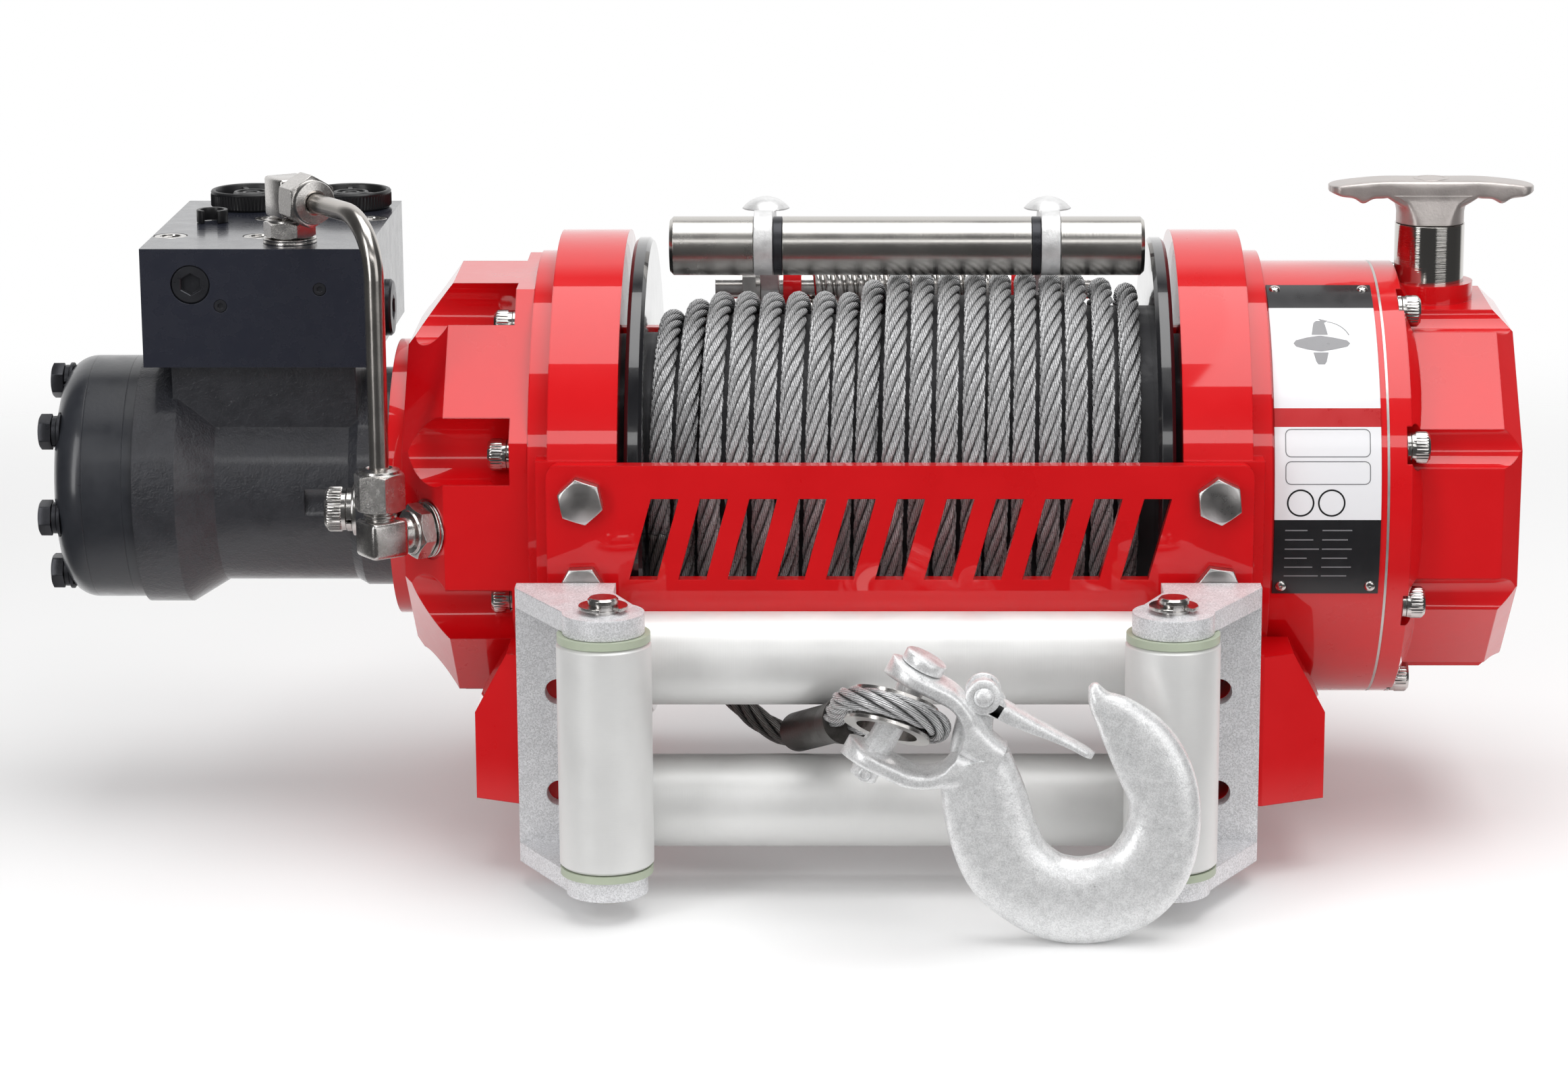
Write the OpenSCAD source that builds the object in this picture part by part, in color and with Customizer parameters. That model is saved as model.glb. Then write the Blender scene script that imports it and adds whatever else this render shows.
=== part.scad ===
// Hydraulic winch with planetary gearbox, wet brake, orbit motor, roller
// fairlead, rope tensioner and clevis hook.
// X runs along the drum, the motor is at -X and the gearbox at +X.
// The front, where the rope leaves, faces -Y. The feet stand on z = 0.

/* [Mounting] */
// Height of the drum axis above the feet
axis_z = 111; // [106:1:125]
// Spacing of the foot bolts along the drum
foot_dx = 254; // [240:1:290]
// Spacing of the foot bolts across the drum
foot_dy = 114.3; // [100:0.1:130]
// Diameter of a foot bolt hole
foot_hole_d = 10.5; // [8.5:0.5:14]
// Depth of a foot bolt hole
foot_hole_depth = 24; // [12:1:30]
// Height of the lower fairlead bolt hole above the feet
fair_hole_z = 8; // [7:0.5:14]
// Spacing of the two fairlead bolt holes on one foot
fair_hole_dz = 42; // [36:1:46]

/* [Drum supports] */
// Width of a support ring along the drum
support_w = 28; // [20:1:34]
// Outer radius of a support ring
support_r = 104; // [102:1:108]
// Edge of the step round the housing that it carries
step_edge = 4.3; // [2:0.1:9]
// Width of that step along the drum
step_w = 8.5; // [5:0.5:14]
// Reach of a foot outside the step's ring
foot_out = 30.5; // [24:0.5:40]
// Height of a foot at its outer edge
foot_h = 36; // [24:1:40]
// Rise of the sloping top of a foot
foot_slope = 26; // [15:1:30]
// Distance of the front face of a foot from the drum axis
foot_front = 116; // [112:1:122]
// Distance of the back face of a foot from the drum axis
foot_back = 100; // [90:1:104]
// Set-back of the outer front corner of a foot
foot_taper = 12; // [4:1:18]
// Width of the front block and of the pad above it
block_w = 32.6; // [29:0.1:36]
// Height of the front block that carries the fairlead
block_h = 63; // [60:1:68]
// Distance of the tie plate pads from the drum axis
pad_y = 102; // [101.5:0.5:106]
// Height of the top of the front pad above the axis
pad_top = 28; // [26:1:40]

/* [Drum] */
// Running gap between a drum flange and its support
drum_clear = 2.5; // [1:0.5:4]
// Thickness of a drum flange
flange_t = 7; // [4:0.5:10]
// Radius of a drum flange
flange_r = 100.8; // [98:0.1:101.5]
// Outer radius of the drum barrel
barrel_r = 52; // [48:0.5:56]
// Bore radius of the drum barrel
barrel_bore_r = 42; // [38:0.5:46]
// Radius of a drum journal
journal_r = 60; // [58:0.5:62]
// Wall of a drum bush
bush_t = 4; // [2:0.5:6]
// Length of a drum bush
bush_len = 24; // [15:1:27]

/* [Rope] */
// Diameter of the wire rope
rope_d = 9.5; // [8:0.1:10]
// Turns of rope in the outer layer
rope_turns = 18.6; // [12:0.1:19]
// Gap between the last turns and the drum flanges
rope_side_gap = 0.35; // [0.3:0.05:1]
// Winding radius of the first turn
layer_first_r = 65.7; // [62:0.1:68]
// Winding radius up to the middle of the drum
layer_low_r = 73.2; // [70:0.1:76]
// Winding radius past the middle of the drum
layer_high_r = 81.35; // [78:0.05:83]
// Winding radius of the last turns
layer_last_r = 77; // [75:0.1:80]
// Diameter of the ferrule behind the eye
ferrule_d = 16; // [13:0.5:17]
// Inner radius of the thimble
thimble_r = 12; // [11:0.5:12.5]

/* [Gearbox] */
// Outer radius of the gearbox housing
gearbox_r = 91; // [88:0.5:94]
// Length of the gearbox housing
gearbox_len = 46.5; // [44:0.5:52]
// Thickness of the cover gasket
gasket_t = 1; // [0.5:0.1:2]
// Face width of the gears
gear_w = 28; // [20:0.5:29]
// Radius of a planet pin
planet_pin_r = 6; // [4:0.5:8]
// Wall of the gearbox housing round the ring gear
gearbox_wall = 15; // [13:0.5:18]
// Wall of the ring gear behind its teeth
ring_wall = 13.5; // [12:0.5:15]
// Sun gear between its shaft and its teeth
sun_wall = 1.5; // [1:0.1:3]
// Distance of the housing screws from the rim
screw_edge = 6; // [5:0.5:8]
// Diameter of a housing screw
screw_d = 8; // [6:0.5:8]

/* [End cover] */
// Width of the rim of the end cover
rim_w = 9; // [6:0.5:12]
// Length of the slope behind the rim
rim_slope = 6.6; // [4:0.2:9]
// Step in from the rim to the eight-sided part
cover_inset = 14; // [12:0.5:17]
// Length of the eight-sided part of the cover
cover_len = 40.1; // [39:0.1:54]
// Chamfer at the outer end of the cover
cover_chamfer = 8; // [3:0.5:10]
// Wall of the eight-sided part
cover_shell = 15; // [13:0.5:17]

/* [Clutch] */
// Distance of the clutch axis from the end face of the cover
clutch_back = 31.5; // [29:0.1:33]
// Radius of the clutch boss
boss_r = 18.4; // [17:0.2:21]
// Height of the clutch boss above the flat under it
boss_rise = 7; // [3:0.5:13]
// Outer radius of the clutch sleeve
sleeve_r = 14.5; // [12:0.5:16]
// Height of the clutch sleeve above its boss
sleeve_rise = 24.2; // [20:0.2:36]
// Radius of the clutch pin
clutch_pin_r = 7; // [5:0.5:7.5]
// Width of the clutch handle
handle_w = 85; // [70:0.5:100]
// Height of the clutch handle
handle_h = 19.1; // [14:0.1:22]
// Depth of the clutch handle at its middle
handle_d = 19.6; // [19:0.2:26]

/* [Brake] */
// Half width across the flats of the eight-sided brake housing
brake_flat_r = 88.6; // [86:0.2:90]
// Length of the eight-sided part of the brake housing
brake_len = 34.5; // [32:0.5:40]
// Thickness of the brake housing under the screw heads
brake_seat_t = 7.5; // [5:0.5:10]
// Length of the cone of the brake housing
cone_len = 19; // [15:0.5:24]
// Step in from the flats to the end of the cone
cone_drop = 25.6; // [20:0.2:28]
// Length of the round nose that carries the motor
nose_len = 7; // [4:0.5:12]
// Wall of the brake housing at its flats
brake_wall = 22.6; // [21:0.2:26]
// Fixed plates in the brake
brake_plate_count = 5; // [3:1:5]
// Thickness of a brake plate or disc
brake_plate_t = 2.2; // [1.6:0.1:2.3]

/* [Motor] */
// Radius of the motor body
motor_r = 53; // [50:0.5:56]
// Radius of the motor neck
motor_neck_r = 43.7; // [42:0.1:47]
// Length of the motor casting
motor_len = 106; // [100:1:116]
// Length of the gerotor ring
gerotor_len = 16.6; // [12:0.2:22]
// Thickness of the spacer plate
spacer_t = 4.4; // [3:0.2:7]
// Thickness of the motor end cover
motor_cover_t = 13; // [12.5:0.5:20]
// Radius of the motor cover and the gerotor ring
motor_cover_r = 51; // [49:0.5:54]
// Radius of the circle of motor cover bolts
motor_bolt_r = 41; // [39:0.5:42]
// Distance of a motor flange screw from the axis
motor_ear_y = 53; // [52:0.5:56]

/* [Valve block] */
// Length of the valve block along the drum
block_x = 92.4; // [84:0.2:96]
// Depth of the valve block
block_y = 130; // [120:1:140]
// Height of the valve block
block_z = 49.1; // [44:0.1:56]
// Height of the underside of the block above the axis
block_floor = 55.5; // [55:0.1:60]
// Distance of the front of the block from the axis
block_front = 47; // [40:1:52]
// Radius of a port cap
cap_r = 17.5; // [14:0.5:20]

/* [Brake line] */
// Diameter of the brake pipe
pipe_d = 8; // [6:0.5:10]
// Bend radius of the brake pipe
pipe_bend_r = 24; // [16:1:30]
// Distance of the pipe behind the motor face
pipe_x = 1.4; // [0:0.2:4]
// Distance of the pipe in front of the brake port
pipe_out = 15.13; // [13:0.01:18]
// Height of the upper run of the pipe above the axis
pipe_z = 124; // [120:1:130]
// Height of the brake port below the axis
port_drop = 5; // [2:0.5:8]

/* [Tie plates] */
// Thickness of a tie plate
tie_t = 6; // [4:0.5:8]
// Height of the top of the front tie plate above the axis
tie_top = 27.6; // [22:0.2:28]
// Height of the front tie plate
tie_h = 62.8; // [58:0.2:64]
// Height of the upper tie plate bolts above the axis
tie_bolt_z = 13.8; // [8:0.1:15]
// Spacing of the two bolts at one end
tie_bolt_dz = 35.6; // [32:0.2:38]
// Diameter of a tie plate bolt
tie_bolt_d = 10; // [8:0.5:12]
// Slots in the front tie plate
slot_count = 11; // [5:2:13]

/* [Fairlead] */
// Shift of the whole fairlead along the drum
fair_shift = -4.6; // [-4.6:0.1:4.6]
// Radius of a fairlead roller
roller_r = 18.5; // [17:0.1:18.6]
// Distance of a vertical roller axis from the middle
vertical_x = 110.4; // [108:0.2:113]
// End play of a vertical roller at one washer
vertical_play = 0.5; // [0.3:0.1:1]
// Distance of the vertical rollers in front of the bracket face
vertical_y = 39; // [38:0.5:43]
// Height of the lower roller in its bracket
roller_in_low = 25.9; // [24:0.1:28]
// Distance of the upper roller below the top of its bracket
roller_in_high = 28.4; // [26:0.1:29]
// Radius of a roller pin
roller_pin_r = 6; // [4:0.5:7]
// Thickness of the fairlead bracket plates
bracket_t = 8; // [6:0.5:8.5]
// Width of the back plate of a bracket
bracket_w = 39.6; // [36:0.2:43]
// Height of a bracket
bracket_h = 113; // [112.5:0.5:118]
// Reach of the bracket below the feet
bracket_drop = 20.4; // [19:0.2:23]
// Thickness of a nylon washer
nylon_t = 3; // [2:0.2:3.2]

/* [Tensioner] */
// Shift of the whole tensioner along the drum
tension_shift = 3; // [-3:0.5:3]
// Radius of a tensioner roller
tension_r = 12.25; // [11:0.05:13]
// Half length of the middle roller
tension_mid = 51.7; // [50:0.1:53]
// Thickness of a washer beside the arms
tension_washer_t = 3.6; // [2:0.1:4]
// Thickness of a tensioner arm
tension_arm_t = 7.8; // [6:0.1:9]
// Gap between the row of rollers and a drum flange
tension_side_gap = 4.7; // [4:0.1:12]
// Distance of the arm pivot behind the drum axis
pivot_y = 95; // [93:0.5:100]
// Height of the arm pivot above the drum axis
pivot_z = 65; // [60:0.5:70]
// Radius of the pivot bolt
pivot_r = 6; // [4:0.5:7]
// Wire of the tensioner spring
wire_d = 4; // [3:0.1:4]
// Curls of the tensioner spring
spring_curls = 18; // [10:1:18]

/* [Hook] */
// Distance of the hook plane in front of the drum axis
hook_y = 195; // [194:0.5:205]
// Height of the clevis pin above the feet
hook_z = 59.4; // [57:0.2:62]
// Tilt of the clevis pin from upright, in degrees
hook_tilt = 27.8; // [20:0.2:32]
// Reach of the hook from the pin to its far side
hook_size = 116; // [108:1:122]
// Radius of the clevis pin
clevis_pin_r = 5.5; // [4:0.1:5.5]
// Length of the latch
latch_len = 49; // [44:0.5:49]

/* [Hidden] */
$fn = 48;
cut = 1; // overrun of a cut past a face
fit = 0.05; // clearance of a seat or a running fit
gap = 0.3; // clearance between parts that move past each other

// Places along the drum
web_x = foot_dx / 2 - support_w / 2;
step_x = web_x + support_w;
seat_x = step_x + step_w;
flange_x = web_x - drum_clear;
drum_x = flange_x - flange_t;
bore_r = journal_r + bush_t;
journal_gap = 3; // end play past a journal
journal_x = step_x - journal_gap;

// Places at the gearbox end
housing_x = seat_x + gearbox_len;
cover_x = housing_x + gasket_t;
screw_seat_drop = 2;
head_x = cover_x + rim_w - screw_seat_drop;
body_x = cover_x + rim_w + rim_slope;
cover_end = body_x + cover_len;
clutch_x = cover_end - clutch_back;
housing_floor = 3.5; // wall between the gears and the drum
gear_start = seat_x + housing_floor + 1.5 * gap;
gear_x = gear_start + gap;
sun_teeth = 12;
planet_teeth = 24;
ring_teeth = 60;
pressure = 25; // pressure angle of the gears
tooth_depth_share = 1.25; // dedendum in modules
ring_gear_r = gearbox_r - gearbox_wall;
gear_mod = (ring_gear_r - ring_wall) / (ring_teeth / 2 + tooth_depth_share);
shaft_r = gear_mod * (sun_teeth / 2 - tooth_depth_share) - sun_wall;
planet_r = gear_mod * (sun_teeth + planet_teeth) / 2;
backlash = 0.16; // play taken from each tooth
screw_circle_r = gearbox_r - screw_edge;
cover_flat_r = gearbox_r - cover_inset;
cover_bore_r = cover_flat_r - cover_shell;
boss_z = cover_flat_r + boss_rise;
sleeve_z = boss_z + sleeve_rise;
collar_gap = 4; // gap between the ring gear's collar and the cover
collar_r = cover_bore_r - collar_gap;
collar_t = 12;
step_r = max(gearbox_r, brake_flat_r) + step_edge;
brake_screw_edge = 9.3; // brake's screws from its flats
brake_screw_r = brake_flat_r - brake_screw_edge;
brake_bore_r = brake_flat_r - brake_wall;
cone_flat_r = brake_flat_r - cone_drop;
disc_t = 6; // web between the ring gear and its collar
flat_turn = -2.5;
screw_turn = 20; // first screw, in degrees above the front
brake_turn = 18.5; // the same at the brake

// Places at the motor end, measured outwards
brake_end = seat_x + brake_len;
cone_end = brake_end + cone_len;
nose_end = cone_end + nose_len;
nose_r = 58;
motor_x = nose_end;
motor_flange_t = 14;
motor_end = motor_x + motor_len;
spacer_x = motor_end + spacer_t;
gerotor_x = spacer_x + gerotor_len;

// Screw sizes, as shares of the diameter
cap_head_share = 0.81;
cap_height_share = 1.0;
hex_head_share = 0.94;
hex_height_share = 0.65;
socket_share = 0.36;

module at_axis() translate([0, 0, axis_z]) children();
module at_tension() translate([tension_shift, 0, axis_z]) children();
module rod_x(x, len, r) translate([x, 0, 0]) rotate([0, 90, 0]) cylinder(h = len, r = r);
module rod_y(y, len, r) translate([0, y + len, 0]) rotate([90, 0, 0]) cylinder(h = len, r = r);
module turned_x(x) translate([x, 0, 0]) rotate([0, 90, 0]) rotate_extrude() children();
module side_profile(x, len) translate([x, 0, 0]) rotate([90, 0, 90]) linear_extrude(len) children();
module front_profile(y, len) translate([0, y + len, 0]) rotate([90, 0, 0]) linear_extrude(len) children();

// A tube wall along X
module pipe_x_wall(x, len, r, bore) difference() {
    rod_x(x, len, r);
    rod_x(x - cut, len + 2 * cut, bore);
}

// Eight-sided bar along X, and the cuts that slope its flats
module octagon_x(x, len, r) translate([x, 0, 0]) rotate([-flat_turn, 0, 0]) rotate([0, 90, 0])
    rotate([0, 0, 22.5]) cylinder(h = len, r = r / cos(22.5), $fn = 8);
module octagon_cuts(x1, r1, x2, r2) for (i = [0 : 7]) rotate([-flat_turn - 45 * i, 0, 0])
    translate([x1, -r1, 0]) rotate([0, 0, atan2(r1 - r2, x2 - x1)]) translate([-r1, -r1, -r1])
        cube([3 * r1, r1, 2 * r1]);

// Copies round the X axis, angles upwards from the front
module round_x(count, r, first) for (i = [0 : count - 1])
    rotate([-first - i * 360 / count, 0, 0]) translate([0, -r, 0]) children();

// A cap screw along X, seat at x = 0, head towards +X
module cap_screw(d, len) {
    head_r = cap_head_share * d;
    difference() {
        union() {
            rod_x(0, cap_height_share * d, head_r);
            rod_x(-len, len, d / 2);
        }
        translate([cap_height_share * d / 2, 0, 0]) rotate([0, 90, 0])
            cylinder(h = d, r = socket_share * d, $fn = 6);
    }
}

// A hexagon bolt likewise
module hex_bolt(d, len) {
    rotate([0, 90, 0]) cylinder(h = hex_height_share * d, r = hex_head_share * d, $fn = 6);
    rod_x(-len, len, d / 2);
}

// Points of a smooth curve through hand-picked points
function spline_at(a, b, c, d, t) = 0.5 * ((2 * b) + (c - a) * t
    + (2 * a - 5 * b + 4 * c - d) * t * t + (3 * b - a - 3 * c + d) * t * t * t);
function spline(pts, steps) = let (n = len(pts)) concat([for (i = [0 : n - 2]) for (s = [0 : steps - 1])
    let (a = i == 0 ? 2 * pts[0] - pts[1] : pts[i - 1])
    let (d = i == n - 2 ? 2 * pts[n - 1] - pts[n - 2] : pts[i + 2])
    spline_at(a, pts[i], pts[i + 1], d, s / steps)], [pts[n - 1]]);

// A tube along centres, with one reference direction and two half sizes a ring
function unit(v) = v / norm(v);
function heading(c, i) = unit(c[min(i + 1, len(c) - 1)] - c[max(i - 1, 0)]);
function square_to(v, t) = unit(v - (v * t) * t);
module tube(centres, refs, widths, sides) {
    n = len(centres);
    points = [for (i = [0 : n - 1])
        let (t = heading(centres, i), u = square_to(refs[i], t), v = cross(t, u))
        for (j = [0 : sides - 1])
        let (a = 360 * (j + 0.5) / sides)
        centres[i] + widths[i][0] * cos(a) * u + widths[i][1] * sin(a) * v];
    walls = [for (i = [0 : n - 2]) for (j = [0 : sides - 1])
        let (a = i * sides + j, b = i * sides + (j + 1) % sides)
        each [[a, b + sides, b], [a, a + sides, b + sides]]];
    first_cap = [for (j = [1 : sides - 2]) [0, j, j + 1]];
    last_cap = [for (j = [1 : sides - 2]) let (k = (n - 1) * sides) [k, k + j + 1, k + j]];
    polyhedron(points, concat(walls, first_cap, last_cap));
}
function repeat(v, n) = [for (i = [1 : n]) v];

// Least distance between turns of a coil, minus its thickness
function coil_gap(c, ring, thick) = min([for (i = [0 : len(c) - 1])
    for (j = [i + ring / 2 : min(i + 2 * ring, len(c) - 1)]) norm(c[i] - c[j])]) - thick;

// Drum supports
foot_outline_share = 0.55; // how far up the slope the foot stays wide
module support_web() side_profile(web_x, support_w) polygon([
    [-pad_y, pad_top], [-pad_y, block_h - axis_z], [-foot_front, block_h - axis_z],
    [-foot_front, -axis_z], [foot_back, -axis_z], [foot_back, foot_h - axis_z],
    [support_r, 0], [pad_y, pad_top], [0, pad_top]]);

module support_foot() intersection() {
    front_profile(-foot_front, foot_front + foot_back) polygon([
        [web_x, -axis_z], [step_x + foot_out, -axis_z],
        [step_x + foot_out, foot_h - axis_z],
        [step_x + foot_out * foot_outline_share, foot_h + foot_slope - axis_z],
        [web_x, foot_h + foot_slope - axis_z]]);
    translate([0, 0, -axis_z]) linear_extrude(axis_z) polygon([
        [web_x, -foot_front], [web_x + block_w, -foot_front],
        [step_x + foot_out, foot_taper - foot_front], [step_x + foot_out, foot_back],
        [web_x, foot_back]]);
}

module support_right(circle_r, turn) at_axis() difference() {
    union() {
        rod_x(web_x, support_w, support_r);
        rod_x(step_x, step_w, step_r);
        support_web();
        support_foot();
        translate([web_x, -foot_front, -axis_z]) cube([block_w, foot_front / 3, block_h]);
        translate([web_x, -pad_y, -axis_z]) cube([block_w, pad_y / 3, axis_z + pad_top]);
        translate([web_x, pad_y * 2 / 3, -axis_z]) cube([block_w, pad_y / 3, axis_z + pad_top]);
    }
    rod_x(web_x - cut, support_w + step_w + 2 * cut, bore_r);
    rod_x(seat_x, foot_out, housing_corner + gap);
    translate([web_x - cut, -pad_y - foot_front, block_h - axis_z])
        cube([block_w + 2 * cut, foot_front, 2 * axis_z]);
    translate([web_x - cut, pad_y, -axis_z]) cube([block_w + 2 * cut, foot_front, 2 * axis_z]);
    for (y = [-1, 1]) translate([foot_dx / 2, y * foot_dy / 2, -axis_z - cut])
        cylinder(h = foot_hole_depth + cut, r = foot_hole_d / 2);
    for (z = [0, fair_hole_dz]) translate([foot_dx / 2, 0, fair_hole_z + z - axis_z])
        rod_y(-foot_front - cut, tie_bolt_depth + cut, tie_bolt_d / 2 + fit);
    for (y = [-1, 1], z = [0, tie_bolt_dz]) translate([foot_dx / 2, 0, tie_bolt_z - z])
        rod_y(y * (pad_y + cut) - (y + 1) / 2 * (tie_bolt_depth + cut), tie_bolt_depth + cut,
            tie_bolt_d / 2 + fit);
    round_x(8, circle_r, turn)
        rod_x(seat_x - screw_depth, screw_depth + cut, screw_d / 2 + fit);
}
housing_corner = max(gearbox_r, brake_flat_r / cos(22.5)); // what a foot has to clear
tie_bolt_depth = 20;
screw_depth = 13;

module drum_support_right() color("red") support_right(screw_circle_r, screw_turn);
module drum_support_left() color("red") mirror([1, 0, 0]) support_right(brake_screw_r, brake_turn);

// Tie plates
tie_half = step_x;
tie_corner = 5;
slot_w = 11;
slot_h = 33;
slot_lean = 9;
slot_span = 216;
slot_z = -2.5;

module tie_blank(top, height) difference() {
    union() {
        translate([-tie_half, top - height]) square([2 * tie_half, height - tie_corner]);
        translate([-tie_half + tie_corner, top - tie_corner])
            square([2 * (tie_half - tie_corner), tie_corner]);
        for (x = [-1, 1]) translate([x * (tie_half - tie_corner), top - tie_corner]) circle(tie_corner);
    }
    for (x = [-1, 1], z = [0, tie_bolt_dz]) translate([x * foot_dx / 2, tie_bolt_z - z])
        circle(tie_bolt_d / 2 + fit);
}

module front_tie_plate() color("red") at_axis() front_profile(-pad_y - tie_t, tie_t) difference() {
    tie_blank(tie_top, tie_h);
    for (i = [0 : slot_count - 1]) translate([slot_span * ((i + 0.5) / slot_count - 0.5), slot_z])
        polygon([[-slot_w - slot_lean, -slot_h] / 2, [slot_w - slot_lean, -slot_h] / 2,
            [slot_w + slot_lean, slot_h] / 2, [slot_lean - slot_w, slot_h] / 2]);
}

lug_x = 46;
lug_t = 8;
lug_r = 12; // radius round the pivot
rear_top = 45;
module rear_tie_plate() color("red") at_axis() difference() {
    union() {
        front_profile(pad_y, tie_t) tie_blank(rear_top, tie_h + rear_top - tie_top);
        for (x = [-lug_x - lug_t, lug_x]) side_profile(x + tension_shift, lug_t) {
            translate([pivot_y, pivot_z]) circle(lug_r);
            polygon([[pad_y, rear_top - lug_r], [pad_y + tie_t, rear_top - lug_r],
                [pivot_y + lug_r, pivot_z], [pivot_y - lug_r, pivot_z]]);
        }
    }
    translate([tension_shift, pivot_y, pivot_z]) rod_x(-lug_x - lug_t - cut, 2 * (lug_x + lug_t + cut), pivot_r + fit);
}

module tie_plate_bolts() color("silver") at_axis() for (x = [-1, 1], y = [-1, 1], z = [0, tie_bolt_dz])
    translate([x * foot_dx / 2, y * (pad_y + tie_t), tie_bolt_z - z]) rotate([0, 0, 90 * y])
        hex_bolt(tie_bolt_d, tie_t + tie_bolt_depth - cut);

// Drum
module drum_barrel() color("dimgray") at_axis() difference() {
    union() {
        rod_x(-drum_x, 2 * drum_x, barrel_r);
        for (x = [-journal_x, drum_x]) rod_x(x, journal_x - drum_x, journal_r);
    }
    rod_x(-journal_x - cut, 2 * (journal_x + cut), barrel_bore_r);
}

flange_edge = 1.5;
module drum_flange() turned_x(drum_x) polygon([
    [journal_r + fit, 0], [flange_r - flange_edge, 0], [flange_r, flange_edge],
    [flange_r, flange_t - flange_edge], [flange_r - flange_edge, flange_t], [journal_r + fit, flange_t]]);
module drum_flanges() color("#16161a") at_axis() {
    drum_flange();
    mirror([1, 0, 0]) drum_flange();
}

module drum_bushes() color("peru") at_axis() for (x = [-journal_x, journal_x - bush_len])
    pipe_x_wall(x, bush_len, bore_r - fit, journal_r + fit);

// Rope on the drum: one outer layer over a plain core
first_x = drum_x - rope_side_gap - rope_d / 2;
rope_pitch = 2 * first_x / rope_turns;
rise_low = 1; // turn where the rope climbs to the low radius
rise_high = 8; // turn where it climbs to the high radius
rise_last = 17; // turn where it drops to the last radius
climb = 0.5;
loop_rings = 24;
rope_sides = 6;
function smooth(t) = let (s = max(0, min(1, t))) s * s * (3 - 2 * s);
function wind_r(t) = layer_first_r
    + (layer_low_r - layer_first_r) * smooth((t - rise_low) / climb)
    + (layer_high_r - layer_low_r) * smooth((t - rise_high) / climb)
    + (layer_last_r - layer_high_r) * smooth((t - rise_last) / climb);
function wind_at(t) = [t * rope_pitch - first_x, -wind_r(t) * cos(360 * t), wind_r(t) * sin(360 * t)];
wind_steps = round(rope_turns * loop_rings);
wind_ts = [for (i = [0 : wind_steps]) rope_turns * i / wind_steps];
wind_end = wind_at(rope_turns);
wind_out = [0, -sin(360 * rope_turns), -cos(360 * rope_turns)];
wind_line = concat([wind_at(0) - [0, 0, rope_d], wind_at(0) - [0, 0, rope_d / 2]],
    [for (t = wind_ts) wind_at(t)],
    [wind_end - wind_out * rope_d / 2, wind_end - wind_out * rope_d]);
wind_refs = concat(repeat([0, -1, 0], 2), [for (t = wind_ts) [0, -cos(360 * t), sin(360 * t)]],
    repeat([0, -cos(360 * rope_turns), sin(360 * rope_turns)], 2));

module rope_winding() color("silver") at_axis() {
    echo(least_gap_between_rope_turns = coil_gap(wind_line, loop_rings, rope_d));
    tube(wind_line, wind_refs, repeat([rope_d, rope_d] / 2, len(wind_line)), rope_sides);
}

module rope_core() color("gray") at_axis() {
    under = rope_d / 2 + gap;
    low_x = (rise_low + climb) * rope_pitch - first_x + rope_d / 2;
    high_x = (rise_high + climb) * rope_pitch - first_x + rope_d / 2;
    last_x = rise_last * rope_pitch - first_x - rope_d / 2;
    difference() {
        union() {
            rod_x(-drum_x, low_x + drum_x, layer_first_r - under);
            rod_x(low_x, high_x - low_x, layer_low_r - under);
            rod_x(high_x, last_x - high_x, layer_high_r - under);
            rod_x(last_x, drum_x - last_x, layer_last_r - under);
        }
        rod_x(-drum_x - cut, 2 * (drum_x + cut), barrel_r + fit);
    }
}

// Brake
pocket_r = 14;
pocket_out = 7.2;
shaft_bore_r = 26; // opening of the brake housing towards the motor
brake_gap = 2.5; // room in front of the first plate
port_r = 6;
port_spot_r = 12.5;
facet_angle = atan2(brake_flat_r - cone_flat_r, cone_len);
port_x = cone_end - cone_len * 0.62;
port_y = cone_flat_r + (cone_end - port_x) * tan(facet_angle);
pipe_y = port_y + pipe_out;

module on_port() translate([-port_x, -port_y, -port_drop]) rotate([0, 0, 90 - facet_angle])
    rotate([0, -90, 0]) children();

module brake_housing() color("red") at_axis() difference() {
    union() {
        mirror([1, 0, 0]) difference() {
            octagon_x(seat_x, brake_len + cone_len, brake_flat_r);
            octagon_cuts(brake_end, brake_flat_r, cone_end, cone_flat_r);
        }
        rod_x(-nose_end, nose_len + cut, nose_r);
    }
    rod_x(-brake_end - gap, brake_end + gap - seat_x + cut, brake_bore_r);
    rod_x(-nose_end - cut, nose_end, shaft_bore_r);
    on_ears() rod_x(-nose_end - cut, screw_depth + cut, motor_screw_d / 2 + fit);
    round_x(8, brake_screw_r + pocket_out, brake_turn)
        rod_x(-nose_end - cut, nose_end - seat_x - brake_seat_t + cut, pocket_r);
    round_x(8, brake_screw_r, brake_turn) rod_x(-nose_end, nose_end, screw_d / 2 + fit);
    on_port() translate([0, 0, -port_depth]) cylinder(h = port_depth + cut, r = port_r + fit);
    on_port() translate([0, 0, -spot_depth]) cylinder(h = spot_depth + pocket_r, r = port_spot_r);
}
port_depth = 13;
spot_depth = 0.8;
port_seat = -2.5;
motor_screw_d = 12;

plate_pitch = 2 * (brake_plate_t + gap);
plates_x = seat_x + brake_gap;
plate_bore_r = 30;
disc_edge = 4; // gap from a disc to the housing bore
hub_r = 16;
module brake_plates() color("slategray") at_axis() for (i = [0 : brake_plate_count - 1])
    pipe_x_wall(-plates_x - i * plate_pitch - brake_plate_t, brake_plate_t, brake_bore_r - fit, plate_bore_r);

module friction_discs() color("saddlebrown") at_axis() for (i = [1 : brake_plate_count - 1])
    pipe_x_wall(-plates_x - i * plate_pitch + gap, brake_plate_t, brake_bore_r - disc_edge, hub_r + fit);

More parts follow.
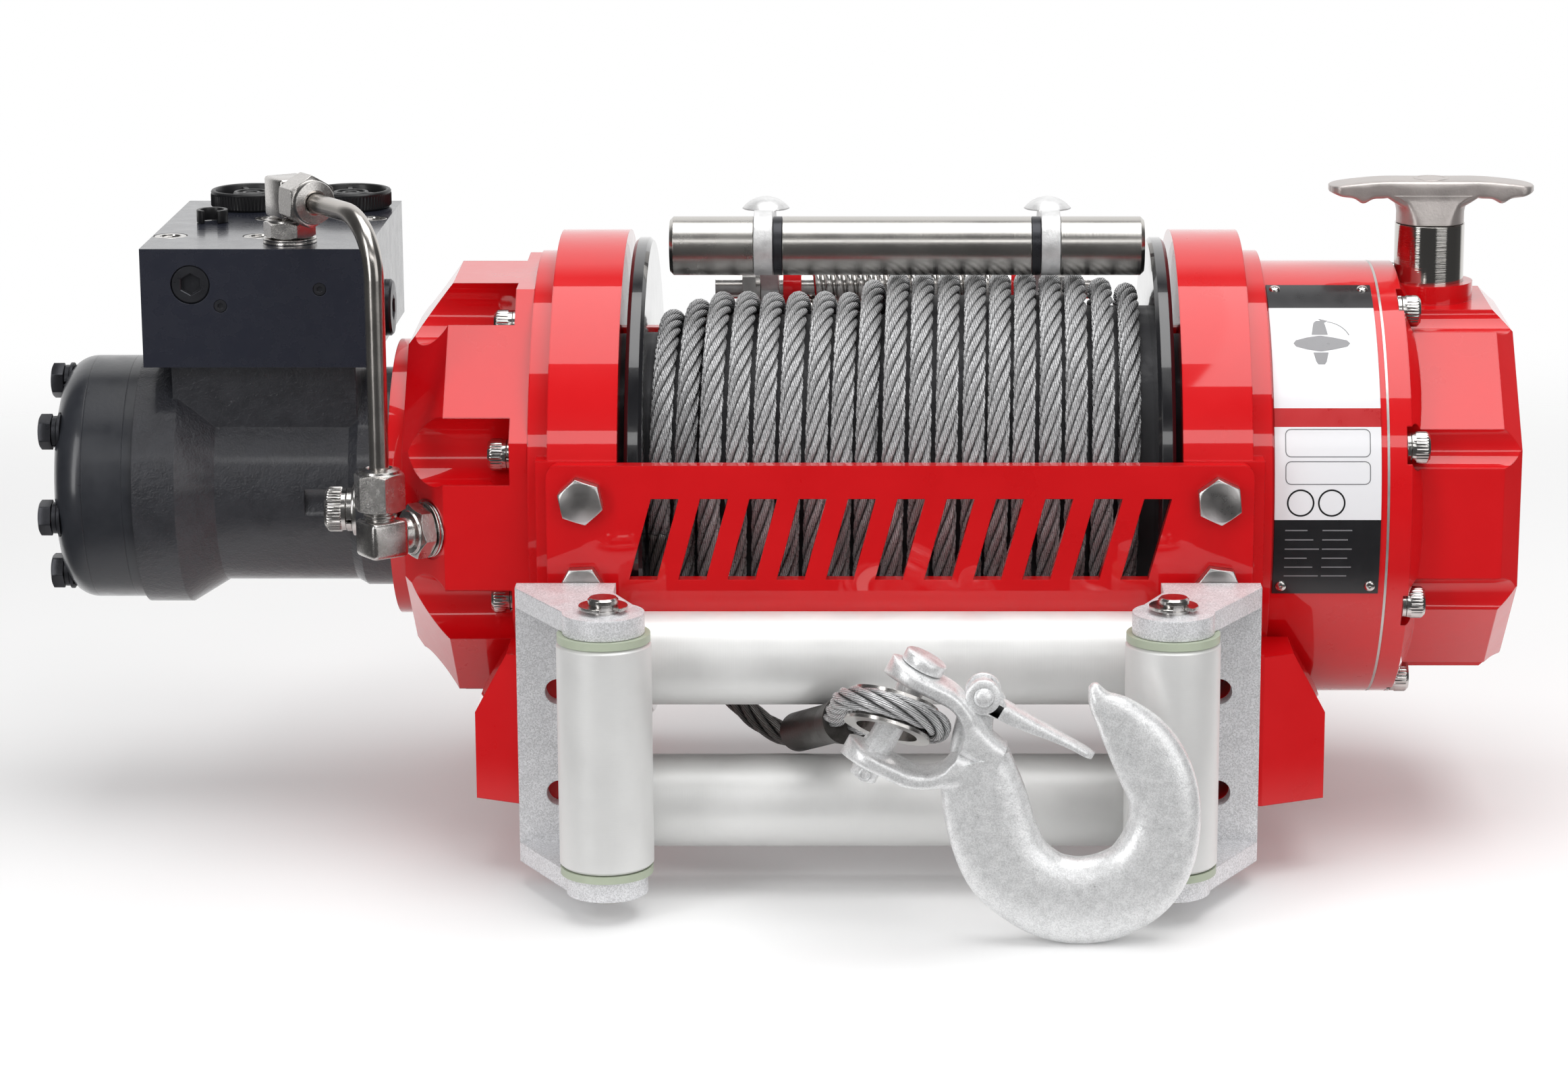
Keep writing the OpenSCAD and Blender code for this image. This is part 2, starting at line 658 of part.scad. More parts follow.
piston_x = plates_x + (brake_plate_count - 1) * plate_pitch + brake_plate_t + gap;
piston_stroke = 1.2; // travel that frees the brake
piston_t = brake_end - piston_x - piston_stroke - gap;
module brake_piston() color("gainsboro") at_axis()
    pipe_x_wall(-piston_x - piston_t, piston_t, brake_bore_r - fit, plate_bore_r);

bearing_w = 12;
module shaft_bearing() color("lightsteelblue") at_axis()
    pipe_x_wall(-nose_end, bearing_w, shaft_bore_r - fit, shaft_r + fit);

// Gears
function inv(a) = tan(a) * 180 / PI - a;
function tooth_half(teeth, r, play) = let (rp = gear_mod * teeth / 2, rb = rp * cos(pressure))
    90 / teeth - play / 2 / rp * 180 / PI + inv(pressure) - (r <= rb ? 0 : inv(acos(rb / r)));
function tooth_points(teeth, root, tip, play) = let (rp = gear_mod * teeth / 2)
    let (rb = max(rp * cos(pressure), root), radii = [root, rb + (tip - rb) / 8, rp, tip])
    [for (k = [0 : teeth - 1]) each concat(
        [for (r = radii) let (a = 360 * k / teeth - tooth_half(teeth, r, play)) r * [cos(a), sin(a)]],
        [for (i = [3 : -1 : 0]) let (r = radii[i], a = 360 * k / teeth + tooth_half(teeth, r, play))
            r * [cos(a), sin(a)]])];
module gear_x(teeth, bore) translate([gear_x, 0, 0]) rotate([0, 90, 0]) linear_extrude(gear_w)
    difference() {
        rp = gear_mod * teeth / 2;
        polygon(tooth_points(teeth, rp - tooth_depth_share * gear_mod, rp + gear_mod, backlash));
        if (bore > 0) circle(bore);
    }

hub_start = plates_x - brake_gap / 2;
module sun_shaft() color("lightgray") at_axis() {
    rod_x(-nose_end + gap, nose_end + gear_x + gear_w - gap, shaft_r);
    rod_x(-piston_x + gap, piston_x - gap - hub_start, hub_r);
    gear_x(sun_teeth, 0);
}

carrier_t = 7.5;
carrier_r = 46;
spigot_len = 20;
carrier_x = seat_x - carrier_t - gap;
module planet_carrier() color("lightslategray") at_axis() {
    difference() {
        union() {
            rod_x(carrier_x, carrier_t, carrier_r);
            rod_x(carrier_x - spigot_len, spigot_len, barrel_bore_r - fit);
        }
        rod_x(carrier_x - spigot_len - cut, spigot_len + carrier_t + 2 * cut, shaft_r + gear_mod);
    }
    for (i = [0 : 2]) rotate([120 * i, 0, 0]) translate([0, 0, -planet_r]) {
        rod_x(carrier_x + carrier_t / 2, gear_x + gear_w - carrier_x - carrier_t / 2, planet_pin_r);
        rod_x(carrier_x + carrier_t / 2, gear_x - gap - carrier_x - carrier_t / 2, planet_pin_r * 1.5);
    }
}

module planet(i) color("lightgray") at_axis() rotate([120 * i, 0, 0]) translate([0, 0, -planet_r])
    rotate([180 / planet_teeth, 0, 0]) gear_x(planet_teeth, planet_pin_r + fit);
module planet_gear_1() planet(0);
module planet_gear_2() planet(1);
module planet_gear_3() planet(2);

collar_wall = 4; // collar past the clutch pin
collar_end = clutch_x + clutch_pin_r + collar_wall;
ring_face = gear_x + gear_w + gap;
module ring_gear() color("darkgray") at_axis() difference() {
    union() {
        rod_x(gear_start, ring_face - gear_start + disc_t, ring_gear_r);
        rod_x(ring_face, collar_end - ring_face, collar_r);
    }
    rod_x(ring_face - cut, collar_end - ring_face + 2 * cut, collar_r - collar_t);
    translate([gear_start - cut, 0, 0]) rotate([0, 90, 0]) rotate([0, 0, 180 / ring_teeth])
        linear_extrude(ring_face - gear_start + cut) {
            rp = gear_mod * ring_teeth / 2;
            polygon(tooth_points(ring_teeth, rp - gear_mod + fit, rp + tooth_depth_share * gear_mod, -backlash));
        }
    for (i = [0 : 5]) rotate([60 * i, 0, 0]) translate([clutch_x, 0, 0])
        cylinder(h = collar_r + cut, r = clutch_pin_r + gap);
}

// Gearbox housing and cover
module gearbox_housing() color("red") at_axis() difference() {
    rod_x(seat_x, gearbox_len, gearbox_r);
    rod_x(seat_x + housing_floor, gearbox_len, ring_gear_r + fit);
    rod_x(seat_x - cut, housing_floor + 2 * cut, journal_r);
    round_x(8, screw_circle_r, screw_turn)
        rod_x(seat_x - cut, gearbox_len + 2 * cut, screw_d / 2 + fit);
}

module gearbox_gasket() color("whitesmoke") at_axis() difference() {
    pipe_x_wall(housing_x, gasket_t, gearbox_r, ring_gear_r + fit);
    round_x(8, screw_circle_r, screw_turn)
        rod_x(housing_x - cut, gasket_t + 2 * cut, screw_d / 2 + fit);
}

notch_r = 9.5;
clutch_floor = cover_bore_r + 2 * cut; // lower end of the clutch sleeve
cover_wall = 5; // room behind the ring gear collar
module clutch_end_cover() color("red") at_axis() difference() {
    union() {
        rod_x(cover_x, rim_w, gearbox_r);
        turned_x(cover_x + rim_w)
            polygon([[0, 0], [gearbox_r, 0], [cover_flat_r - cut, rim_slope], [0, rim_slope]]);
        difference() {
            octagon_x(cover_x + rim_w - cut, cover_end - cover_x - rim_w + cut, cover_flat_r);
            octagon_cuts(cover_end - cover_chamfer, cover_flat_r, cover_end, cover_flat_r - cover_chamfer);
        }
        translate([clutch_x, 0, cover_bore_r]) cylinder(h = boss_z - cover_bore_r, r = boss_r);
    }
    rod_x(cover_x - cut, collar_end + cover_wall - cover_x + cut, cover_bore_r);
    round_x(8, screw_circle_r, screw_turn) {
        rod_x(head_x, cover_end - head_x + cut, notch_r);
        rod_x(cover_x - cut, cover_end - cover_x, screw_d / 2 + fit);
    }
    translate([clutch_x, 0, clutch_floor]) cylinder(h = boss_z, r = sleeve_r + fit);
    translate([clutch_x, 0, 0]) cylinder(h = boss_z, r = clutch_pin_r + gap);
}

module housing_screws() color("silver") at_axis() {
    round_x(8, screw_circle_r, screw_turn) translate([head_x, 0, 0])
        cap_screw(screw_d, head_x - seat_x + screw_depth - cut);
    round_x(8, brake_screw_r, brake_turn) mirror([1, 0, 0]) translate([seat_x + brake_seat_t, 0, 0])
        cap_screw(screw_d, brake_seat_t + screw_depth - cut);
}

plate_w = 43;
plate_t = 0.8;
plate_low = -19;
plate_high = 71;
plate_side = 1; // distance of the plate from the step
rivet_r = 2.2;
rivet_h = 1.2;
rivet_in = 3.5;
module data_plate() color("white") at_axis() {
    translate([seat_x + plate_side, 0, 0]) rotate([0, 90, 0]) rotate([0, 0, -90 - plate_high])
        rotate_extrude(angle = plate_high - plate_low) translate([gearbox_r + fit, 0]) square([plate_t, plate_w]);
    rivet_turn = rivet_in / gearbox_r * 180 / PI;
    for (x = [rivet_in, plate_w - rivet_in], a = [plate_low + rivet_turn, plate_high - rivet_turn])
        translate([seat_x + plate_side + x, 0, 0]) rotate([-a, 0, 0])
            rod_y(-gearbox_r - plate_t - rivet_h, plate_t + rivet_h - fit, rivet_r);
}

// Clutch
module clutch_sleeve() color("lightgray") at_axis() translate([clutch_x, 0, 0]) difference() {
    translate([0, 0, clutch_floor]) cylinder(h = sleeve_z - clutch_floor, r = sleeve_r);
    translate([0, 0, clutch_floor - cut]) cylinder(h = boss_z, r = clutch_pin_r + fit);
}

clutch_lift = 10;
pin_tip = collar_r - clutch_lift + gap; // lower end of the clutch pin
handle_skin = 4; // handle above the clutch pin
module clutch_pin() color("lightgray") at_axis() translate([clutch_x, 0, pin_tip])
    cylinder(h = sleeve_z + handle_h - handle_skin - pin_tip, r = clutch_pin_r);

neck_r = 14.2;
finger_r = 9;
finger_share = 0.62;
tip_share = 0.55;
wing_share = 0.42;
crown_share = 0.12;
module clutch_handle() color("rosybrown") at_axis() translate([clutch_x, 0, sleeve_z + gap]) difference() {
    h = handle_h - gap;
    union() {
        cylinder(h = h / 2, r = neck_r);
        intersection() {
            front_profile(-handle_d, 2 * handle_d) polygon([
                [-handle_w / 2, h * (1 - wing_share)], [-neck_r, h * wing_share], [neck_r, h * wing_share],
                [handle_w / 2, h * (1 - wing_share)], [handle_w / 2, h * (1 - crown_share)], [0, h],
                [-handle_w / 2, h * (1 - crown_share)]]);
            linear_extrude(h) polygon([
                [-handle_w, -handle_d * tip_share] / 2, [0, -handle_d] / 2, [handle_w, -handle_d * tip_share] / 2,
                [handle_w, handle_d * tip_share] / 2, [0, handle_d] / 2, [-handle_w, handle_d * tip_share] / 2]);
        }
    }
    for (x = [-1, 1]) translate([x * handle_w / 2 * finger_share, 0, h * (1 - wing_share) - finger_r * 0.8])
        rod_y(-handle_d, 2 * handle_d, finger_r);
    translate([0, 0, -cut]) cylinder(h = h - handle_skin + cut + gap, r = clutch_pin_r + fit);
    translate([0, 0, h - handle_skin / 3]) cylinder(h = handle_skin, r = clutch_pin_r / 2);
}

// Motor
taper_start = 88.4;
taper_end = 73.2;
ear_r = 15; // radius round a motor flange screw
ear_web = 30;
flange_plate_r = 46;
cavity_r = 25.5;
module on_ears() for (side = [-1, 1]) translate([0, side * motor_ear_y, port_seat]) children();
module motor_housing() color("#2a2c31") at_axis() difference() {
    union() {
        mirror([1, 0, 0]) turned_x(motor_x) polygon([[0, 0], [flange_plate_r, 0],
            [flange_plate_r, motor_flange_t], [motor_neck_r, motor_flange_t + 2 * ear_edge],
            [motor_neck_r, taper_end], [motor_r, taper_start], [motor_r, motor_len], [0, motor_len]]);
        on_ears() rod_x(-motor_x - ear_t, ear_t, ear_r);
        translate([-motor_x - ear_t, -motor_ear_y, port_seat - ear_web / 2])
            cube([ear_t, 2 * motor_ear_y, ear_web]);
        side_profile(-block_end - rib_in - pad_x, pad_x) polygon([
            [-pad_front, block_floor], [-motor_neck_r * rib_share, 0], [motor_neck_r * rib_share, 0],
            [pad_rear, block_floor]]);
    }
    rod_x(-motor_end - cut, motor_len + cut - motor_floor, cavity_r);
    rod_x(-motor_end, motor_len + cut, shaft_r + gear_mod);
    on_ears() {
        rod_x(-motor_x - ear_t - cut, ear_t + 2 * cut, motor_screw_d / 2 + fit);
        rod_x(-motor_x - 3 * ear_t, 2 * ear_t, ear_r - ear_rim + gap);
    }
    round_x(7, motor_bolt_r, 90) rod_x(-motor_end - cut, screw_depth + cut, screw_d / 2 + fit);
    for (p = block_screws) translate([p[0], p[1], block_floor - block_screw_len])
        cylinder(h = block_z, r = screw_d / 2 + fit);
}
ear_rim = 4; // ear outside its washer
ear_edge = 2; // step behind the motor flange
ear_t = 12;
motor_floor = 30; // solid end of the motor casting
pad_x = 76;
pad_front = 36;
pad_rear = 52;
rib_in = 7; // pad inside the end of the block
rib_share = 0.72;

module motor_spacer() color("#33353a") at_axis() mirror([1, 0, 0]) difference() {
    pipe_x_wall(motor_end, spacer_t, motor_cover_r, shaft_r + gear_mod);
    round_x(7, motor_bolt_r, 90) rod_x(motor_end - cut, spacer_t + 2 * cut, screw_d / 2 + fit);
}

lobe_r = 30; // circle of the seven gerotor pockets
lobe_cut_r = 7;
module gerotor_ring() color("#2a2c31") at_axis() mirror([1, 0, 0]) difference() {
    pipe_x_wall(spacer_x, gerotor_len, motor_cover_r, lobe_r - 2 * gap);
    round_x(7, motor_bolt_r, 90) rod_x(spacer_x - cut, gerotor_len + 2 * cut, screw_d / 2 + fit);
    round_x(7, lobe_r - lobe_cut_r / 2, 90 + 180 / 7) rod_x(spacer_x - cut, gerotor_len + 2 * cut, lobe_cut_r);
}

cover_edge = 12.4; // rounding of the motor end cover
module motor_end_cover() color("#2a2c31") at_axis() mirror([1, 0, 0]) difference() {
    turned_x(gerotor_x) {
        square([motor_cover_r, motor_cover_t - cover_edge]);
        square([motor_cover_r - cover_edge, motor_cover_t]);
        intersection() {
            translate([motor_cover_r - cover_edge, motor_cover_t - cover_edge]) circle(cover_edge);
            square([motor_cover_r, motor_cover_t]);
        }
    }
    round_x(7, motor_bolt_r, 90) {
        rod_x(gerotor_x - cut, motor_cover_t + 2 * cut, screw_d / 2 + fit);
        rod_x(gerotor_x + motor_cover_t - bolt_spot, 2 * bolt_spot, screw_d);
    }
}
bolt_spot = 3;

washer_t = 2;
cover_washer_t = 4;
module motor_cover_bolts() color("dimgray") at_axis() mirror([1, 0, 0]) round_x(7, motor_bolt_r, 90)
    translate([gerotor_x + motor_cover_t - bolt_spot, 0, 0]) {
        rod_x(0, cover_washer_t, screw_d * hex_head_share * 0.9);
        translate([cover_washer_t, 0, 0])
            hex_bolt(screw_d, cover_washer_t + motor_cover_t - bolt_spot + gerotor_len + spacer_t + screw_depth - cut);
    }

module motor_flange_screws() color("silver") at_axis() on_ears()
    translate([-motor_x - ear_t, 0, 0]) mirror([1, 0, 0]) {
        rod_x(0, washer_t, ear_r - ear_rim);
        translate([washer_t, 0, 0]) cap_screw(motor_screw_d, washer_t + ear_t + screw_depth - cut);
    }

// Valve block
block_over = 7.3; // block starts this far behind the motor face
block_end = motor_x + block_over;
block_mid = block_end + block_x / 2;
block_screw_len = 12;
screw_row_share = 0.26;
back_row_share = 0.62;
block_screws = [[-block_mid - block_x * 0.42, block_y * screw_row_share - block_front],
    [-block_mid - block_x * 0.02, block_y * screw_row_share - block_front],
    [-block_mid - block_x * 0.04, block_y * back_row_share - block_front],
    [-block_mid + block_x * 0.42, block_y * back_row_share - block_front]];
flat_head_r = 7;
cap_dx = 43;
cap_back = 18;
port_bore_r = 10;
cap_seat = 12;
elbow_x = 16.7;
elbow_y = 18;
elbow_port_r = 7;
plug_r = 8;
side_plug_r = 10;

module valve_block() color("#24262c") at_axis() difference() {
    translate([-block_end - block_x, -block_front, block_floor]) cube([block_x, block_y, block_z]);
    on_caps() translate([0, 0, -cap_seat]) cylinder(h = cap_seat + cut, r = port_bore_r + fit);
    on_elbow() translate([0, 0, -cap_seat]) cylinder(h = cap_seat + cut, r = elbow_port_r + fit);
    for (p = block_screws) translate([p[0], p[1], 0]) {
        cylinder(h = axis_z + block_z, r = screw_d / 2 + fit);
        translate([0, 0, block_floor + block_z - flat_head_depth])
            cylinder(h = flat_head_depth + cut, r = flat_head_r + fit);
    }
    for (p = front_plugs) translate([p[0], 0, p[1]]) rod_y(-block_front - cut, p[2] + cut, p[2] + fit);
    translate([-block_end, side_plug_y, side_plug_z]) rod_x(-side_plug_r, side_plug_r + cut, side_plug_r * 0.8 + fit);
}
flat_head_depth = 4;
side_plug_y = 18;
side_plug_z = 69;
front_plugs = [[-block_mid - block_x * 0.28, block_floor + block_z * 0.7, plug_r],
    [-block_mid - block_x * 0.15, block_floor + block_z * 0.52, plug_r / 3],
    [-block_mid + block_x * 0.29, block_floor + block_z * 0.66, plug_r / 3]];

module on_caps() for (x = [-1, 1]) translate([-block_mid + x * cap_dx / 2 + cap_shift,
    block_y - block_front - cap_back, block_floor + block_z]) children();
module on_elbow() translate([-block_end - block_x * 0.36, elbow_y - block_front, block_floor + block_z])
    children();
cap_shift = 5; // port caps off the middle of the block

module valve_block_screws() color("silver") at_axis() for (p = block_screws)
    translate([p[0], p[1], block_floor + block_z - flat_head_depth]) difference() {
        union() {
            cylinder(h = flat_head_depth - fit, r = flat_head_r);
            translate([0, 0, -block_z + flat_head_depth - block_screw_len + cut])
                cylinder(h = block_z + block_screw_len - flat_head_depth - cut, r = screw_d / 2);
        }
        translate([0, 0, flat_head_depth / 3]) cylinder(h = flat_head_depth, r = screw_d * 0.36, $fn = 6);
    }

module valve_block_plugs() color("#202226") at_axis() {
    for (p = front_plugs) translate([p[0], 0, p[1]]) difference() {
        rod_y(-block_front + plug_in, p[2] - plug_in, p[2]);
        translate([0, -block_front, 0]) rotate([90, 0, 0]) cylinder(h = plug_r, r = p[2] / 2, center = true, $fn = 6);
    }
    translate([-block_end, side_plug_y, side_plug_z]) difference() {
        union() {
            rod_x(-side_plug_r + fit, side_plug_r, side_plug_r * 0.8);
            rod_x(fit, side_head_t, side_plug_r * 1.2);
        }
        rotate([0, 90, 0]) cylinder(h = side_plug_r, r = side_plug_r / 2, center = true, $fn = 6);
    }
}
plug_in = 1;
side_head_t = 3;

cap_h = 8;
cap_rim = 2.5;
cap_hub_r = 6;
spoke_w = 2.5;
module port_caps() color("#141416") at_axis() {
    on_caps() {
        translate([0, 0, fit]) difference() {
            cylinder(h = cap_h, r = cap_r);
            translate([0, 0, cap_h / 2]) cylinder(h = cap_h, r = cap_r - cap_rim);
        }
        translate([0, 0, cap_h / 3]) cylinder(h = cap_h * 0.6, r = cap_hub_r);
        for (i = [0 : 2]) rotate([0, 0, 120 * i + 90]) translate([0, -spoke_w / 2, cap_h / 3])
            cube([cap_r - cap_rim / 2, spoke_w, cap_h * 0.6]);
        translate([0, 0, fit - cap_seat]) cylinder(h = cap_seat, r = port_bore_r);
    }
    translate([-block_mid - cap_dx / 2 + cap_shift - cap_hub_r * 1.5, clip_y, block_floor + block_z + fit]) {
        cylinder(h = clip_h, r = cap_hub_r);
        translate([cap_hub_r, -cap_hub_r, 0]) cube([cap_hub_r, 2 * cap_hub_r, clip_h]);
    }
}
clip_y = 27;
clip_h = 6;

// Brake line and its elbows
fitting_r = 11; // corner radius of a fitting nut
nut_len = 15.4;
elbow_s = 15;
elbow_base_h = 7;
bonded_t = 2;
top_elbow = [-block_end - block_x * 0.36, elbow_y - block_front];
pipe_foot = [pipe_x - nose_end, -pipe_y];
pipe_run = norm(pipe_foot - top_elbow);
pipe_turn = atan2(pipe_foot[1] - top_elbow[1], pipe_foot[0] - top_elbow[0]);
pipe_start = elbow_s * 0.7 + nut_len;
collar_h = 4; // plain neck between an elbow and its nut
port_low = -port_drop;
pipe_low = port_low + elbow_s / 2 + collar_h + nut_len;

module on_top_elbow() translate([top_elbow[0], top_elbow[1], pipe_z]) rotate([0, 0, pipe_turn]) children();

module upper_elbow() color("silver") at_axis() {
    top = block_floor + block_z;
    difference() {
        union() {
            on_top_elbow() {
                translate([-elbow_s / 2, -elbow_s / 2, -elbow_s / 2]) cube([elbow_s * 1.1, elbow_s, elbow_s]);
                rod_x(elbow_s / 2, elbow_s * 0.3, elbow_s * 0.42);
                translate([elbow_s * 0.7, 0, 0]) rotate([0, 90, 0]) cylinder(h = nut_len * 0.8, r = fitting_r, $fn = 6);
                rod_x(elbow_s * 0.7, nut_len, fitting_r * 0.8);
            }
            translate([top_elbow[0], top_elbow[1], top + fit]) {
                cylinder(h = bonded_t, r = fitting_r);
                cylinder(h = elbow_base_h + bonded_t, r = fitting_r, $fn = 6);
                cylinder(h = pipe_z - top - elbow_s / 3, r = elbow_s * 0.4);
                translate([0, 0, -cap_seat + cut]) cylinder(h = cap_seat, r = elbow_port_r);
            }
        }
        on_top_elbow() rod_x(elbow_s * 0.5, pipe_start, pipe_d / 2 + fit);
    }
}

module brake_line() color("silver") at_axis() {
    on_top_elbow() {
        rod_x(elbow_s * 0.6, pipe_run - pipe_bend_r - elbow_s * 0.6, pipe_d / 2);
        translate([pipe_run - pipe_bend_r, 0, -pipe_bend_r]) rotate([90, 0, 0])
            rotate_extrude(angle = 90) translate([pipe_bend_r, 0]) circle(pipe_d / 2);
        translate([pipe_run, 0, pipe_low - nut_len / 2 - pipe_z])
            cylinder(h = pipe_z - pipe_bend_r - pipe_low + nut_len / 2, r = pipe_d / 2);
    }
}

module lower_elbow() color("silver") at_axis() {
    difference() {
        translate([pipe_foot[0], pipe_foot[1], port_low]) {
            rotate([0, 0, 90 - facet_angle]) translate([-elbow_s / 2, -elbow_s / 2, -elbow_s / 2])
                cube([elbow_s * 1.1, elbow_s, elbow_s]);
            cylinder(h = elbow_s / 2 + collar_h, r = elbow_s * 0.42);
            translate([0, 0, elbow_s / 2 + collar_h]) cylinder(h = nut_len, r = fitting_r * 0.95, $fn = 6);
        }
        translate([pipe_foot[0], pipe_foot[1], port_low]) translate([0, 0, elbow_s / 2])
            cylinder(h = axis_z, r = pipe_d / 2 + fit);
    }
    on_port() {
        translate([0, 0, -port_depth + cut]) cylinder(h = port_depth + elbow_base_h, r = port_r);
        translate([0, 0, fit - spot_depth]) cylinder(h = bonded_t, r = fitting_r * 1.05);
        translate([0, 0, bonded_t - spot_depth]) cylinder(h = elbow_base_h, r = fitting_r * 1.05, $fn = 6);
        cylinder(h = elbow_reach, r = elbow_s * 0.4);
    }
}
elbow_reach = 15; // lock nut face to the elbow body

// Roller fairlead
bracket_y = foot_front + bracket_t; // front face of a back plate, from the axis
vertical_at = foot_front + bracket_t + vertical_y;
horizontal_y = foot_front + bracket_t + 1;
nose_flange_r = 16; // rounding of a bracket flange round its pin
bracket_in = 108.4;
cheek_t = 7.5;
slot_r = 5.2;
slot_len = 2 * abs(fair_shift);
bracket_low = -bracket_drop - axis_z;
pin_end = 6; // pin past a bracket flange
clip_r = 10;
clip_t = 1.5;
head_t = 3;
horizontal_low = bracket_low + roller_in_low;
horizontal_dz = bracket_h - roller_in_low - roller_in_high;

module bracket_flange(z) translate([0, 0, z]) linear_extrude(bracket_t) difference() {
    union() {
        polygon([[bracket_in, -foot_front], [bracket_in + bracket_w, -foot_front],
            [bracket_in + bracket_w, -bracket_y], [vertical_x + nose_flange_r, -vertical_at],
            [vertical_x - nose_flange_r, -vertical_at], [bracket_in, -bracket_y - cheek_t]]);
        translate([vertical_x, -vertical_at]) circle(nose_flange_r);
    }
    translate([vertical_x, -vertical_at]) circle(roller_pin_r + fit);
}

module bracket() color("lightgray") at_axis() difference() {
    union() {
        bracket_flange(bracket_low);
        bracket_flange(bracket_low + bracket_h - bracket_t);
        translate([bracket_in, -bracket_y, bracket_low]) cube([bracket_w, bracket_t, bracket_h]);
        translate([bracket_in, -bracket_y - cheek_t, bracket_low]) cube([cheek_t, cheek_t + bracket_t, bracket_h]);
    }
    for (z = [0, horizontal_dz]) translate([bracket_in - cut, -horizontal_y, horizontal_low + z])
        rod_x(0, cheek_t + cut, roller_pin_r + fit);
    for (z = [0, fair_hole_dz]) translate([foot_dx / 2, 0, fair_hole_z + z - axis_z]) {
        for (s = [-slot_len, slot_len] / 2) translate([s, 0, 0]) rod_y(-bracket_y - cut, bracket_t + 2 * cut, slot_r);
        translate([-slot_len / 2, -bracket_y - cut, -slot_r]) cube([slot_len, bracket_t + 2 * cut, 2 * slot_r]);
    }
}
module fairlead_bracket_right() translate([fair_shift, 0, 0]) bracket();
module fairlead_bracket_left() translate([fair_shift, 0, 0]) mirror([1, 0, 0]) bracket();

horizontal_half = bracket_in - nylon_t - 2 * gap;
module on_horizontals() for (z = [0, horizontal_dz])
    translate([fair_shift, -horizontal_y, horizontal_low + z]) children();
module on_verticals() for (x = [-1, 1]) translate([x * vertical_x + fair_shift, -vertical_at, bracket_low]) children();

module roller_pins() color("silver") at_axis() {
    on_horizontals() rod_x(-bracket_in - cheek_t + fit, 2 * (bracket_in + cheek_t - fit), roller_pin_r);
    on_verticals() {
        cylinder(h = bracket_h + pin_end, r = roller_pin_r);
        translate([0, 0, bracket_h + clip_t]) cylinder(h = clip_t, r = clip_r);
        translate([0, 0, bracket_h + fit]) cylinder(h = clip_t, r = clip_r * 0.8);
        translate([0, 0, -head_t]) cylinder(h = head_t - fit, r = clip_r * 0.9);
        translate([0, 0, -head_t]) cylinder(h = head_t, r = roller_pin_r);
    }
}

module nylon_ring() difference() {
    cylinder(h = nylon_t, r = roller_r - gap);
    translate([0, 0, -cut]) cylinder(h = nylon_t + 2 * cut, r = roller_pin_r + fit);
}
vertical_len = bracket_h - 2 * (bracket_t + nylon_t + vertical_play);
vertical_low = (bracket_h - vertical_len) / 2;
module roller_washers() color("darkseagreen") at_axis() {
    on_horizontals() for (x = [-bracket_in + gap, bracket_in - gap - nylon_t])
        translate([x, 0, 0]) rotate([0, 90, 0]) nylon_ring();
    on_verticals() for (z = [vertical_low - gap - nylon_t, vertical_low + vertical_len + gap])
        translate([0, 0, z]) nylon_ring();
}

roller_edge = 1.2;
module roller(len) rotate_extrude() polygon([
    [roller_pin_r + fit, 0], [roller_r - roller_edge, 0], [roller_r, roller_edge],
    [roller_r, len - roller_edge], [roller_r - roller_edge, len], [roller_pin_r + fit, len]]);
module horizontal_roller(z) color("silver") at_axis() rotate([0, 90, 0])
    translate([-horizontal_low - z, -horizontal_y, fair_shift - horizontal_half]) roller(2 * horizontal_half);
module vertical_roller(x) color("silver") at_axis()
    translate([x * vertical_x + fair_shift, -vertical_at, bracket_low + vertical_low]) roller(vertical_len);
module roller_top() horizontal_roller(horizontal_dz);
module roller_bottom() horizontal_roller(0);
module roller_left() vertical_roller(-1);
module roller_right() vertical_roller(1);

// Rope tensioner
tension_y = -2;
tension_z = sqrt(pow(layer_high_r + rope_d / 2 + tension_r + gap, 2) - pow(tension_y, 2));
tension_shaft_r = 5;
tension_half = drum_x - tension_side_gap;
arm_x = tension_mid + gap + tension_washer_t + gap;
arm_r = 13.5;
dome_r = 10;
dome_h = 5;
dome_y = 34; // coach bolt behind the axis
dome_z = 109;
arm_low_share = 0.86;
module tensioner_arms() color("lightgray") at_tension() for (side = [-1, 1]) {
    difference() {
        union() {
            side_profile(side * arm_x - (1 - side) / 2 * tension_arm_t, tension_arm_t) {
                translate([tension_y, tension_z + arm_r - tension_r]) circle(arm_r);
                translate([pivot_y, pivot_z]) circle(lug_r);
                polygon([[tension_y, tension_z + arm_r], [dome_y - dome_r, dome_z], [dome_y + dome_r, dome_z],
                    [pivot_y + lug_r / 2, pivot_z + lug_r], [pivot_y - lug_r, pivot_z],
                    [dome_y + dome_r, dome_z * arm_low_share], [tension_y + arm_r / 2, tension_z]]);
            }
            translate([side * (arm_x + tension_arm_t / 2), dome_y, dome_z])
                rotate_extrude() intersection() {
                    translate([0, dome_h - dome_ball]) circle(dome_ball);
                    square([dome_r, dome_h]);
                }
        }
        translate([0, tension_y, tension_z]) rod_x(-tension_half, 2 * tension_half, tension_shaft_r + fit);
        translate([0, pivot_y, pivot_z]) rod_x(-tension_half, 2 * tension_half, pivot_r + fit);
    }
}
dome_ball = 12.5; // sphere radius of a coach bolt head

module on_tension() translate([0, tension_y, tension_z]) children();
module tensioner_shaft() color("gray") at_tension() on_tension() {
    rod_x(-tension_half + roller_cap_t, 2 * (tension_half - roller_cap_t), tension_shaft_r);
    for (x = [-tension_mid - gap - tension_washer_t, tension_mid + gap])
        pipe_x_wall(x, tension_washer_t, tension_r, tension_shaft_r);
}
roller_cap_t = 6; // closed end of an outer tensioner roller

